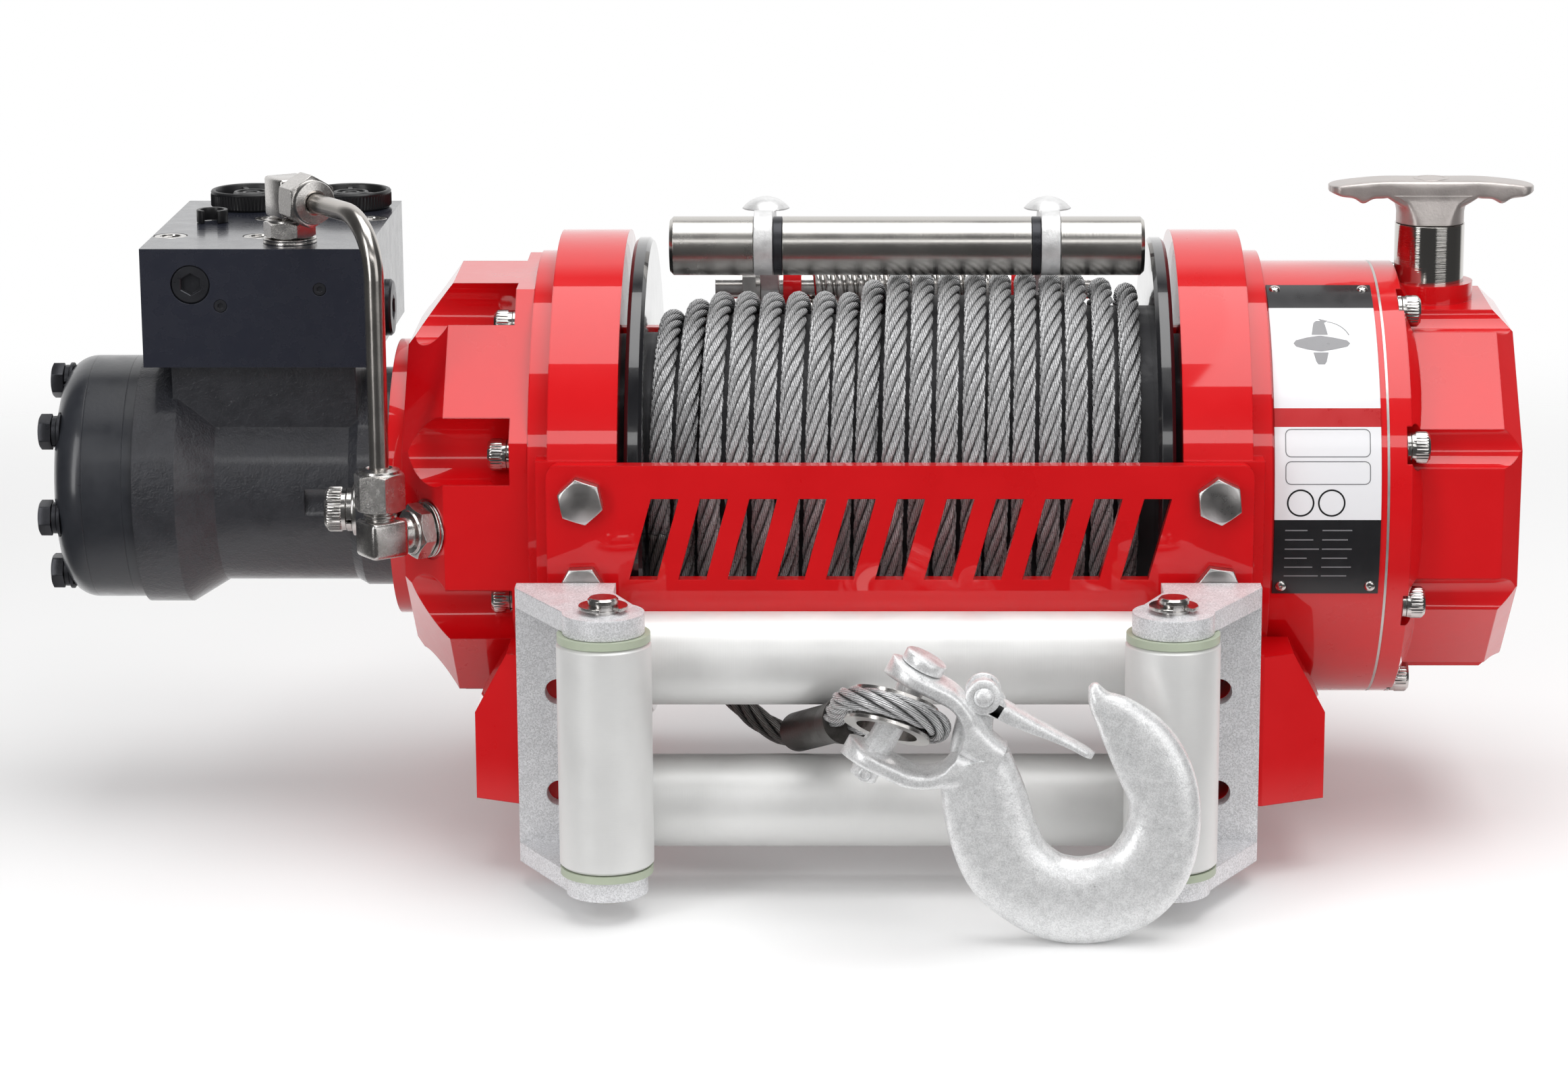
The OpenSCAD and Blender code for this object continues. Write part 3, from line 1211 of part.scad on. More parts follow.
outer_x = arm_x + tension_arm_t + gap;
tension_edge = 1.5;
module outer_roller() turned_x(outer_x) polygon([
    [tension_shaft_r + fit, 0], [tension_r, 0], [tension_r, tension_half - outer_x - tension_edge],
    [tension_r - tension_edge, tension_half - outer_x], [0, tension_half - outer_x],
    [0, tension_half - outer_x - roller_cap_t + gap],
    [tension_shaft_r + fit, tension_half - outer_x - roller_cap_t + gap]]);
module tension_rollers() color("silver") at_tension() on_tension() {
    pipe_x_wall(-tension_mid, 2 * tension_mid, tension_r, tension_shaft_r + fit);
    outer_roller();
    mirror([1, 0, 0]) outer_roller();
}

nut_x = arm_x + tension_arm_t + gap + washer_t;
pivot_end = 84;
module tensioner_pivot_bolt() color("silver") at_tension() translate([0, pivot_y, pivot_z]) {
    rod_x(-pivot_end, 2 * pivot_end, pivot_r);
    for (side = [-1, 1]) scale([side, 1, 1]) {
        pipe_x_wall(nut_x - washer_t, washer_t, pivot_r * 2, pivot_r);
        translate([nut_x, 0, 0]) rotate([0, 90, 0]) cylinder(h = pivot_r, r = pivot_r * 1.8, $fn = 6);
    }
}

curl_rings = 8;
spring_r = pivot_r + wire_d / 2 + gap;
spring_half = lug_x - wire_d;
function curl_at(t) = [(2 * t / spring_curls - 1) * spring_half, spring_r * sin(360 * t), -spring_r * cos(360 * t)];
curl_line = concat([curl_at(0) - [0, 2 * wire_d, 0], curl_at(0) - [0, wire_d, 0]],
    [for (i = [0 : spring_curls * curl_rings]) curl_at(i / curl_rings)],
    [curl_at(spring_curls) + [0, wire_d, 0], curl_at(spring_curls) + [0, 2 * wire_d, 0]]);
curl_refs = concat(repeat([0, 0, -1], 2),
    [for (i = [0 : spring_curls * curl_rings]) let (a = 360 * i / curl_rings) [0, sin(a), -cos(a)]],
    repeat([0, 0, -1], 2));
module tensioner_spring() color("silver") at_tension() translate([0, pivot_y, pivot_z]) {
    echo(least_gap_between_spring_curls = coil_gap(curl_line, curl_rings, wire_d));
    tube(curl_line, curl_refs, repeat([wire_d, wire_d] / 2, len(curl_line)), rope_sides);
}

// Rope from the drum to the ferrule, by points chosen by hand
tail_top = wind_at(0) + [0, 0, axis_z - rope_d - 2 * fit];
tail_route = [[-98, -67, 82], [-96, -72, 72], [-91, -79, 62], [-83, -85, 53], [-74, -90, 45],
    [-66, -93, 38], [-59, -96, 32], [-52, -99, 28], [-47, -101, 26], [-44, -104, 27], [-41, -112, 30]];
ferrule_end = [-21, -165, 50];
ferrule_dir = unit(ferrule_end - tail_route[10]);
tail_sides = 10;
tail_line = concat([tail_top], spline(concat([tail_top - [0, 0, rope_d]], tail_route), 2));
module rope_tail() color("silver") {
    tube(tail_line, repeat([0.8, 0.6, 0], len(tail_line)), repeat([rope_d, rope_d] / 2, len(tail_line)), tail_sides);
    tube(eye_line, repeat(eye_axis, len(eye_line)), repeat([rope_d, rope_d] / 2, len(eye_line)), tail_sides);
}

// Eye of the rope round the thimble
pin_at = [-2.2, -hook_y, hook_z];
pin_dir = [sin(hook_tilt), 0, cos(hook_tilt)];
eye_at = pin_at - 1.5 * [cos(hook_tilt), 0, -sin(hook_tilt)];
eye_dir = unit(eye_at - ferrule_end);
eye_axis = unit(pin_dir - (pin_dir * eye_dir) * eye_dir);
eye_side = cross(eye_axis, eye_dir);
thimble_wall = 2;
eye_r = thimble_r + thimble_wall + rope_d / 2 + gap;
eye_half = 118; // half the rope's angle round the thimble
leg_side = (rope_d / 2 + gap) * square_to(eye_side, ferrule_dir); // legs of the eye off the ferrule axis
function eye_point(a) = eye_at + eye_r * (cos(a) * eye_dir + sin(a) * eye_side);
eye_line = concat(
    [ferrule_end - leg_side, ferrule_end - leg_side + rope_d / 2 * ferrule_dir],
    [for (a = [-eye_half : eye_half / 9 : eye_half + 1]) eye_point(a)],
    [ferrule_end + leg_side + rope_d / 2 * ferrule_dir, ferrule_end + leg_side]);

// Children along a line between two points
module along(p, q) {
    v = q - p;
    translate(p) rotate([0, acos(v[2] / norm(v)), atan2(v[1], v[0])]) children();
}

flare_len = 16;
module rope_ferrule() color("#3c3c3c") {
    total = norm(ferrule_end - tail_route[10]);
    along(tail_route[10], ferrule_end) {
        translate([0, 0, cut]) cylinder(h = total - flare_len - cut, r = ferrule_d / 2);
        translate([0, 0, total - flare_len]) cylinder(h = flare_len - fit, r1 = ferrule_d / 2, r2 = rope_d + gap);
    }
}

thimble_half = 6.5;
thimble_lip = 5;
module thimble() color("silver") along(eye_at, eye_at + eye_axis) rotate_extrude() polygon([
    [thimble_r, -thimble_half], [thimble_r + thimble_lip, -thimble_half],
    [thimble_r + thimble_lip, -rope_d / 2 - gap], [thimble_r + thimble_wall, -rope_d / 2 - gap],
    [thimble_r + thimble_wall, rope_d / 2 + gap], [thimble_r + thimble_lip, rope_d / 2 + gap],
    [thimble_r + thimble_lip, thimble_half], [thimble_r, thimble_half]]);

// Clevis hook: stations of its bowl as shares of hook_size, then half width and half thickness
hook_shares = [[0.262, -0.138, 0.120, 0.070], [0.293, -0.267, 0.140, 0.070], [0.327, -0.397, 0.147, 0.072],
    [0.378, -0.511, 0.147, 0.075], [0.462, -0.585, 0.144, 0.078], [0.537, -0.619, 0.146, 0.080],
    [0.623, -0.630, 0.147, 0.081], [0.716, -0.612, 0.147, 0.080], [0.806, -0.559, 0.142, 0.077],
    [0.862, -0.476, 0.134, 0.073], [0.891, -0.371, 0.122, 0.069], [0.887, -0.263, 0.118, 0.065],
    [0.850, -0.166, 0.120, 0.060], [0.797, -0.079, 0.108, 0.054], [0.731, 0.000, 0.078, 0.046],
    [0.678, 0.054, 0.044, 0.036], [0.652, 0.108, 0.017, 0.020]];
hook_line = [for (p = hook_shares) hook_size * [p[0], 0, p[1]]];
hook_widths = [for (p = hook_shares) hook_size * [p[3], p[2]]];
fork_in = 14;
fork_t = 8;
ear_half = 12;
fork_depth = 27.5; // bottom of the fork from the pin
fork_len = 42;
shank_half = 11;
shank_t = 8;
latch_lug_r = 6;
latch_lug_t = 4;
latch_pin_r = 2.5;
latch_at_share = [0.292, 0.079];
latch_at = hook_size * latch_at_share;

module on_hook() translate(pin_at) children();
module fork() rotate([0, hook_tilt, 0]) intersection() {
    rotate([90, 0, 0]) translate([0, 0, -ear_half]) linear_extrude(2 * ear_half) difference() {
        polygon([[-ear_half, -fork_in - fork_t], [fork_depth * 0.7, -fork_in - fork_t], [fork_len, -shank_half],
            [fork_len, shank_half], [fork_depth * 0.7, fork_in + fork_t], [-ear_half, fork_in + fork_t]]);
        translate([-2 * ear_half, -fork_in]) square([fork_depth - fork_in + 2 * ear_half, 2 * fork_in]);
        translate([fork_depth - fork_in, 0]) circle(fork_in);
    }
    translate([0, 0, -fork_len]) linear_extrude(2 * fork_len) {
        circle(ear_half);
        polygon([[0, -ear_half], [fork_len, -shank_t], [fork_len, shank_t], [0, ear_half]]);
    }
}

pin_half = 27;
pin_head_r = 8.5;
cotter_r = 2;
module hook() color("lightsteelblue") on_hook() {
    difference() {
        union() {
            fork();
            tube(hook_line, repeat([0, 1, 0], len(hook_line)), hook_widths, 12);
            translate([latch_at[0], 0, latch_at[1]]) rod_y(-latch_lug_t, 2 * latch_lug_t, latch_lug_r);
            translate([latch_at[0] - latch_lug_r, -latch_lug_t, latch_at[1] - 2 * latch_lug_r])
                cube([latch_lug_r, 2 * latch_lug_t, 2 * latch_lug_r]);
        }
        translate([latch_at[0], 0, latch_at[1]]) rod_y(-ear_half, 2 * ear_half, latch_pin_r + fit);
        rotate([0, hook_tilt, 0]) translate([0, 0, -pin_half]) cylinder(h = 2 * pin_half, r = clevis_pin_r + fit);
    }
    rotate([0, hook_tilt, 0]) difference() {
        union() {
            translate([0, 0, -pin_half]) cylinder(h = 2 * pin_half, r = clevis_pin_r);
            translate([0, 0, fork_in + fork_t + fit]) cylinder(h = pin_half - fork_in - fork_t, r = pin_head_r);
        }
        translate([0, 0, -pin_half + 2 * cotter_r]) rod_y(-ear_half, 2 * ear_half, cotter_r);
    }
}

latch_cheek_r = 4.4;
latch_cheek_t = 2;
latch_strap_t = 2.5;
latch_drop = 30.3;
latch_cheek_len = 14;
module hook_latch() color("lightsteelblue") on_hook() translate([latch_at[0], 0, latch_at[1]]) {
    half = latch_lug_t + gap + latch_cheek_t;
    rod_y(-half, 2 * half, latch_pin_r);
    rotate([0, latch_drop, 0]) {
        for (y = [-half, half - latch_cheek_t]) translate([0, y, -latch_cheek_r / 2])
            cube([latch_cheek_len, latch_cheek_t, latch_cheek_r]);
        translate([latch_lug_r + gap, -half, -latch_strap_t / 2])
            cube([latch_len - latch_lug_r - gap, 2 * half, latch_strap_t]);
        for (y = [-half, half - latch_cheek_t]) translate([0, y, 0]) rod_y(0, latch_cheek_t, latch_cheek_r);
    }
}

drum_support_left();
drum_support_right();
front_tie_plate();
rear_tie_plate();
tie_plate_bolts();
drum_bushes();
drum_barrel();
drum_flanges();
rope_core();
rope_winding();
brake_housing();
brake_plates();
friction_discs();
brake_piston();
shaft_bearing();
sun_shaft();
gearbox_housing();
gearbox_gasket();
clutch_end_cover();
housing_screws();
ring_gear();
planet_carrier();
planet_gear_1();
planet_gear_2();
planet_gear_3();
data_plate();
clutch_sleeve();
clutch_pin();
clutch_handle();
motor_housing();
motor_spacer();
gerotor_ring();
motor_end_cover();
motor_cover_bolts();
motor_flange_screws();
valve_block();
valve_block_screws();
valve_block_plugs();
port_caps();
upper_elbow();
brake_line();
lower_elbow();
fairlead_bracket_left();
fairlead_bracket_right();
roller_pins();
roller_washers();
roller_top();
roller_bottom();
roller_left();
roller_right();
tensioner_arms();
tensioner_shaft();
tension_rollers();
tensioner_pivot_bolt();
tensioner_spring();
rope_tail();
rope_ferrule();
thimble();
hook();
hook_latch();
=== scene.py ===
import bpy
import bmesh
import numpy as np
from math import copysign, cos, degrees, exp, pi, radians, sin, sqrt
from mathutils import Matrix, Vector


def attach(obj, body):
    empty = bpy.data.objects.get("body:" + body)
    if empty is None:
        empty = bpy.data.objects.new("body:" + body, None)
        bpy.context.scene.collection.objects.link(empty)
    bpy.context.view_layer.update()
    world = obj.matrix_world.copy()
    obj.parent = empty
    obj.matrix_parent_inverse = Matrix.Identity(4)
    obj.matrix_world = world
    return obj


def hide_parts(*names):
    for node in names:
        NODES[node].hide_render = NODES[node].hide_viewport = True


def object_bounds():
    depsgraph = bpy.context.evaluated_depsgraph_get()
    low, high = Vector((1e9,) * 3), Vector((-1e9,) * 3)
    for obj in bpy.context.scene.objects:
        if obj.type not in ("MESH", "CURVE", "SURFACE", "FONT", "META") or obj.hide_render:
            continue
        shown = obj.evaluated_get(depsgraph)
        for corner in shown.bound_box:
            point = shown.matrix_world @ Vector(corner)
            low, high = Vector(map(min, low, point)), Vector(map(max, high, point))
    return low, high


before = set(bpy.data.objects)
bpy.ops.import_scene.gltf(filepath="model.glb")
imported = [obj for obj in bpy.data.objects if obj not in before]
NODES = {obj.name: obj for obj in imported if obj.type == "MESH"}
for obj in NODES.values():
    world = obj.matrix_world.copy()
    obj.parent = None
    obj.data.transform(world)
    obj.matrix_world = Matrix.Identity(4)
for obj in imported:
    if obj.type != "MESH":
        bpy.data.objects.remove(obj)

CAD_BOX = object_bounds()
SCENE = bpy.context.scene
SCENE.view_settings.view_transform = "Standard"

# Places and sizes that the CAD model sets, in millimetres
MM = 0.001
AXIS_Z = 111.0
ROPE_D = 9.5
BLOCK_TOP, BLOCK_FRONT = 215.6, -47
GEAR_FACE, BRAKE_FACE = 204, -157
TIE_FACE, TIE_BOLT_X = 108, 127
MOTOR_END, MOTOR_FLANGE = -347, -222
CLUTCH_X, SLEEVE_TOP = 221.2, 219.2
HOOK_PIN = np.array([-2.2, -195, 59.4])
HOOK_TILT = radians(27.8)


# Camera at the photograph's angle
CAMERA_AT = Vector((-2.7, -1768, 498.7)) * MM
CAMERA_TOWARDS = Vector((-2.7, 0, 84)) * MM
camera_data = bpy.data.cameras.new("camera")
camera_data.lens = 98.2
camera_data.sensor_width = 36
camera_data.sensor_fit = "HORIZONTAL"
camera_data.shift_x = -0.0697
camera_data.clip_start = 0.1
camera_data.clip_end = 50
camera = bpy.data.objects.new("camera", camera_data)
SCENE.collection.objects.link(camera)
camera.location = CAMERA_AT
camera.rotation_euler = (CAMERA_TOWARDS - CAMERA_AT).to_track_quat("-Z", "Y").to_euler()
SCENE.camera = camera


# Materials

def node_tree(material):
    material.use_nodes = True
    tree = material.node_tree
    shader = tree.nodes["Principled BSDF"]
    return tree, shader


def give(tree, node, values):
    """Sets a node's inputs by name or index. A socket as a value is linked."""
    for key, value in values.items():
        if isinstance(value, bpy.types.NodeSocket):
            tree.links.new(value, node.inputs[key])
        else:
            node.inputs[key].default_value = value


def add(tree, kind, *first, **settings):
    """A shader node, with its first inputs in order, and its properties and other inputs by name."""
    made = tree.nodes.new(kind)
    named = {key: value for key, value in settings.items() if key in made.inputs}
    for key in settings.keys() - named.keys():
        setattr(made, key, settings[key])
    give(tree, made, dict(enumerate(first)) | named)
    return made


def coords(tree, scale=(1, 1, 1)):
    """Object coordinates, in metres, through a mapping."""
    found = add(tree, "ShaderNodeTexCoord").outputs["Object"]
    return add(tree, "ShaderNodeMapping", Vector=found, Scale=scale).outputs[0]


def noise(tree, scale, detail, roughness=0.5, stretch=(1, 1, 1)):
    return add(tree, "ShaderNodeTexNoise", Vector=coords(tree, stretch), Scale=scale, Detail=detail,
               Roughness=roughness).outputs["Fac"]


def ramp(tree, value, stops):
    made = add(tree, "ShaderNodeValToRGB", value)
    elements = made.color_ramp.elements
    elements[0].position, elements[1].position = stops[0][0], stops[-1][0]
    for at, _ in stops[1:-1]:
        elements.new(at)
    for element, (_, colour) in zip(elements, stops):
        element.color = (*colour, 1) if hasattr(colour, "__len__") else (colour, colour, colour, 1)
    return made.outputs["Color"]


def multiplied(tree, one, two):
    """The product of two colours."""
    made = add(tree, "ShaderNodeMix", 1, data_type="RGBA", blend_type="MULTIPLY")
    give(tree, made, {6: one, 7: two})
    return made.outputs[2]


FLAKE_SCALE, BRUSH_DEPTH = 2200.0, 0.03


def surface(name, colour, metallic=0.0, rough=0.4, shade=0.9, spots=120.0, coat=0.0, coat_rough=0.05,
            bumps=(), edge=0.0, brushed=None, flakes=0.0, specular=0.5):
    """A procedural material. bumps are (scale, distance in mm, detail) of noise, edge is the radius in mm
    of the rounding of sharp edges, and brushed is the stretch of fine lines along X, Y and Z."""
    material = bpy.data.materials.new(name)
    tree, shader = node_tree(material)
    patches = noise(tree, spots, 6.0, 0.6)
    dark = [c * shade for c in colour]
    light = [min(1, c * (2 - shade)) for c in colour]
    shades = ramp(tree, patches, [(0.3, dark), (0.7, light)])
    if flakes:
        cells = add(tree, "ShaderNodeTexVoronoi", Vector=coords(tree), Scale=FLAKE_SCALE).outputs["Color"]
        shades = multiplied(tree, shades, ramp(tree, cells, [(0.2, 1 - flakes), (0.8, 1 + flakes * 0.6)]))
    roughness = ramp(tree, patches, [(0.3, rough * 0.85), (0.7, min(1, rough * 1.25))])
    relief = {}
    if edge:
        relief = {"Normal": add(tree, "ShaderNodeBevel", samples=4, Radius=edge * MM).outputs[0]}
    heights = [(noise(tree, 1.0, 4.0, stretch=brushed), BRUSH_DEPTH)] if brushed else []
    heights += [(noise(tree, scale, detail, 0.55), distance) for scale, distance, detail in bumps]
    for height, distance in heights:
        bump = add(tree, "ShaderNodeBump", Strength=1.0, Distance=distance * MM, Height=height, **relief)
        relief = {"Normal": bump.outputs[0]}
    give(tree, shader, {"Metallic": metallic, "Specular IOR Level": specular, "Coat Weight": coat,
                        "Coat Roughness": coat_rough, "Base Color": shades, "Roughness": roughness, **relief})
    return material


RED = (0.62, 0.003, 0.006)
ROLLER = (0.80, 0.80, 0.79)
red_gloss = surface("red_gloss", RED, rough=0.30, shade=0.96, spots=30, coat=1.0, coat_rough=0.03,
                    bumps=[(240, 0.035, 2), (60, 0.05, 1)], edge=1.0, specular=0.15)
black_gloss = surface("black_gloss", (0.008, 0.008, 0.010), rough=0.2, coat=1.0, coat_rough=0.04,
                      bumps=[(260, 0.03, 2)], edge=0.6)
motor_black = surface("motor_black", (0.026, 0.027, 0.033), rough=0.36, shade=0.8, coat=0.6,
                      coat_rough=0.16, bumps=[(1100, 0.28, 4), (350, 0.45, 4)], edge=0.8)
motor_smooth = surface("motor_smooth", (0.022, 0.024, 0.030), rough=0.32, shade=0.9, coat=0.5,
                       coat_rough=0.15, bumps=[(500, 0.05, 3)], edge=0.8)
block_black = surface("block_black", (0.018, 0.020, 0.031), rough=0.26, shade=0.98, coat=0.6,
                      coat_rough=0.12, bumps=[(2400, 0.015, 3)], edge=0.5)
sparkle = surface("sparkle_silver", (0.80, 0.80, 0.82), metallic=0.35, rough=0.40, shade=0.97,
                  bumps=[(1800, 0.05, 3), (300, 0.03, 2)], edge=0.8, flakes=0.22)
zinc_bright = surface("zinc_bright", (0.66, 0.64, 0.62), metallic=1.0, rough=0.20, shade=0.9,
                      bumps=[(900, 0.02, 3)], edge=0.2)
zinc_satin = surface("zinc_satin", (0.60, 0.58, 0.57), metallic=1.0, rough=0.30, shade=0.9,
                     bumps=[(1400, 0.03, 3)], edge=0.3)
zinc_speckled = surface("zinc_speckled", (0.64, 0.62, 0.60), metallic=1.0, rough=0.24, shade=0.93,
                        spots=300, bumps=[(1500, 0.03, 3)], edge=0.3, flakes=0.12)
roller_long = surface("roller_along_x", ROLLER, metallic=0.35, rough=0.42, shade=0.97, spots=40,
                      brushed=(3000, 60, 60), bumps=[(500, 0.01, 3)], edge=0.5)
roller_tall = surface("roller_along_z", ROLLER, metallic=0.35, rough=0.42, shade=0.97, spots=40,
                      brushed=(60, 60, 3000), bumps=[(500, 0.01, 3)], edge=0.5)
tension_steel = surface("tension_steel", (0.62, 0.60, 0.57), metallic=1.0, rough=0.24, shade=0.97,
                        spots=20, brushed=(2500, 40, 40), edge=0.4)
cast_silver = surface("cast_silver", (0.76, 0.76, 0.76), metallic=0.5, rough=0.36, shade=0.88, spots=220,
                      bumps=[(900, 0.12, 4)], edge=0.9)
handle_cast = surface("handle_cast", (0.52, 0.48, 0.46), metallic=0.7, rough=0.34, shade=0.88, spots=90,
                      bumps=[(1100, 0.06, 4), (200, 0.08, 2)], edge=0.6)
chrome = surface("chrome", (0.60, 0.58, 0.55), metallic=1.0, rough=0.09, shade=0.97, spots=15,
                 brushed=(60, 60, 2500), edge=0.5)
nylon = surface("nylon", (0.42, 0.47, 0.36), rough=0.38, shade=0.95, bumps=[(500, 0.02, 2)])
black_plastic = surface("black_plastic", (0.012, 0.012, 0.013), rough=0.35, bumps=[(800, 0.03, 3)],
                        edge=0.3)
black_steel = surface("black_steel", (0.040, 0.041, 0.047), metallic=0.6, rough=0.3,
                      bumps=[(900, 0.03, 3)], edge=0.3)
pipe_steel = surface("pipe_steel", (0.56, 0.53, 0.50), metallic=1.0, rough=0.22, shade=0.93, spots=60,
                     bumps=[(1200, 0.012, 3)])
gear_steel = surface("gear_steel", (0.45, 0.45, 0.46), metallic=1.0, rough=0.3, bumps=[(900, 0.02, 3)],
                     edge=0.4)
lining = surface("friction_lining", (0.16, 0.10, 0.06), rough=0.8, shade=0.8, bumps=[(900, 0.05, 3)])
bronze = surface("bronze", (0.50, 0.34, 0.16), metallic=1.0, rough=0.3, bumps=[(900, 0.02, 3)], edge=0.3)
drum_dark = surface("drum_dark", (0.05, 0.05, 0.055), metallic=0.3, rough=0.5, shade=0.85,
                    bumps=[(600, 0.06, 3)])
gasket = surface("gasket_silver", (0.60, 0.59, 0.57), metallic=0.8, rough=0.35, bumps=[(900, 0.03, 3)])
hook_zinc = surface("hook_zinc", (0.90, 0.905, 0.91), metallic=0.5, rough=0.32, shade=0.90, spots=260,
                    bumps=[(1500, 0.08, 4), (300, 0.14, 3)], edge=0.4, flakes=0.14)
ferrule_dark = surface("ferrule_dark", (0.10, 0.095, 0.09), metallic=0.8, rough=0.38, shade=0.7,
                       spots=220, bumps=[(900, 0.12, 4)])
plate_white = surface("plate_white", (0.77, 0.77, 0.79), rough=0.3, shade=0.985, spots=20, coat=0.4,
                      coat_rough=0.1)
plate_black = surface("plate_black", (0.013, 0.013, 0.015), rough=0.3, coat=0.4, coat_rough=0.1)
plate_grey = surface("plate_grey", (0.20, 0.20, 0.21), rough=0.3, shade=0.95, coat=0.4, coat_rough=0.1)
plate_red = surface("plate_red", (0.48, 0.012, 0.015), rough=0.3, shade=0.95, coat=0.4, coat_rough=0.1)

FINISH = {
    red_gloss: "drum_support_left drum_support_right front_tie_plate rear_tie_plate brake_housing "
               "gearbox_housing clutch_end_cover",
    black_gloss: "drum_flanges",
    motor_black: "motor_housing",
    motor_smooth: "motor_spacer gerotor_ring motor_end_cover",
    block_black: "valve_block",
    sparkle: "fairlead_bracket_left fairlead_bracket_right",
    roller_long: "roller_top roller_bottom",
    roller_tall: "roller_left roller_right",
    tension_steel: "tension_rollers",
    cast_silver: "tensioner_arms",
    handle_cast: "clutch_handle",
    chrome: "clutch_sleeve",
    nylon: "roller_washers",
    black_plastic: "port_caps",
    black_steel: "motor_cover_bolts valve_block_plugs tensioner_shaft",
    pipe_steel: "brake_line",
    gear_steel: "brake_plates brake_piston shaft_bearing sun_shaft ring_gear planet_carrier "
                "planet_gear_1 planet_gear_2 planet_gear_3 clutch_pin",
    lining: "friction_discs",
    bronze: "drum_bushes",
    drum_dark: "drum_barrel rope_core",
    gasket: "gearbox_gasket",
    hook_zinc: "hook hook_latch",
    ferrule_dark: "rope_ferrule",
    plate_white: "data_plate",
    zinc_bright: "tie_plate_bolts housing_screws motor_flange_screws valve_block_screws upper_elbow "
                 "lower_elbow roller_pins tensioner_pivot_bolt tensioner_spring thimble rope_winding "
                 "rope_tail",
}
for made, names in FINISH.items():
    for found in names.split():
        slots = NODES[found].data.materials
        slots.clear()
        slots.append(made)


# Mesh pieces, in millimetres

def facing(at, way, turn=0.0):
    """Places a piece's origin at a point and its Z axis along a direction."""
    square = Vector(way).to_track_quat("Z", "Y").to_matrix().to_4x4()
    return Matrix.Translation(at) @ square @ Matrix.Rotation(turn, 4, "Z")


def moved(x, y, z):
    return Matrix.Translation((x, y, z))


def spun(angle, axis="Z"):
    return Matrix.Rotation(angle, 4, axis)


def angles(count, shift=0.0):
    """Equal steps of a full turn, in radians."""
    return [2 * pi * (j + shift) / count for j in range(count)]


def circle(radius, z, seg=48):
    """A ring of points round Z. The radius, and the height, may be one value or a list of one for each."""
    radii = radius if hasattr(radius, "__len__") else [radius] * seg
    heights = z if hasattr(z, "__len__") else [z] * len(radii)
    return [(r * cos(a), r * sin(a), height) for r, height, a in zip(radii, heights, angles(len(radii)))]


# The flat top of a nut or bolt head, as a share of the width over its flats
CROWN_SHARE = 0.95


def hexagon_radii(flats, seg=48):
    """The radii, at equal angles, of a hexagon with a given width over its flats."""
    return [flats / 2 / cos((a + pi / 6) % (pi / 3) - pi / 6) for a in angles(seg)]


def bulged(value, power):
    """A sine or cosine raised to a power with its sign kept, for rounded rectangles."""
    return copysign(abs(value) ** power, value)


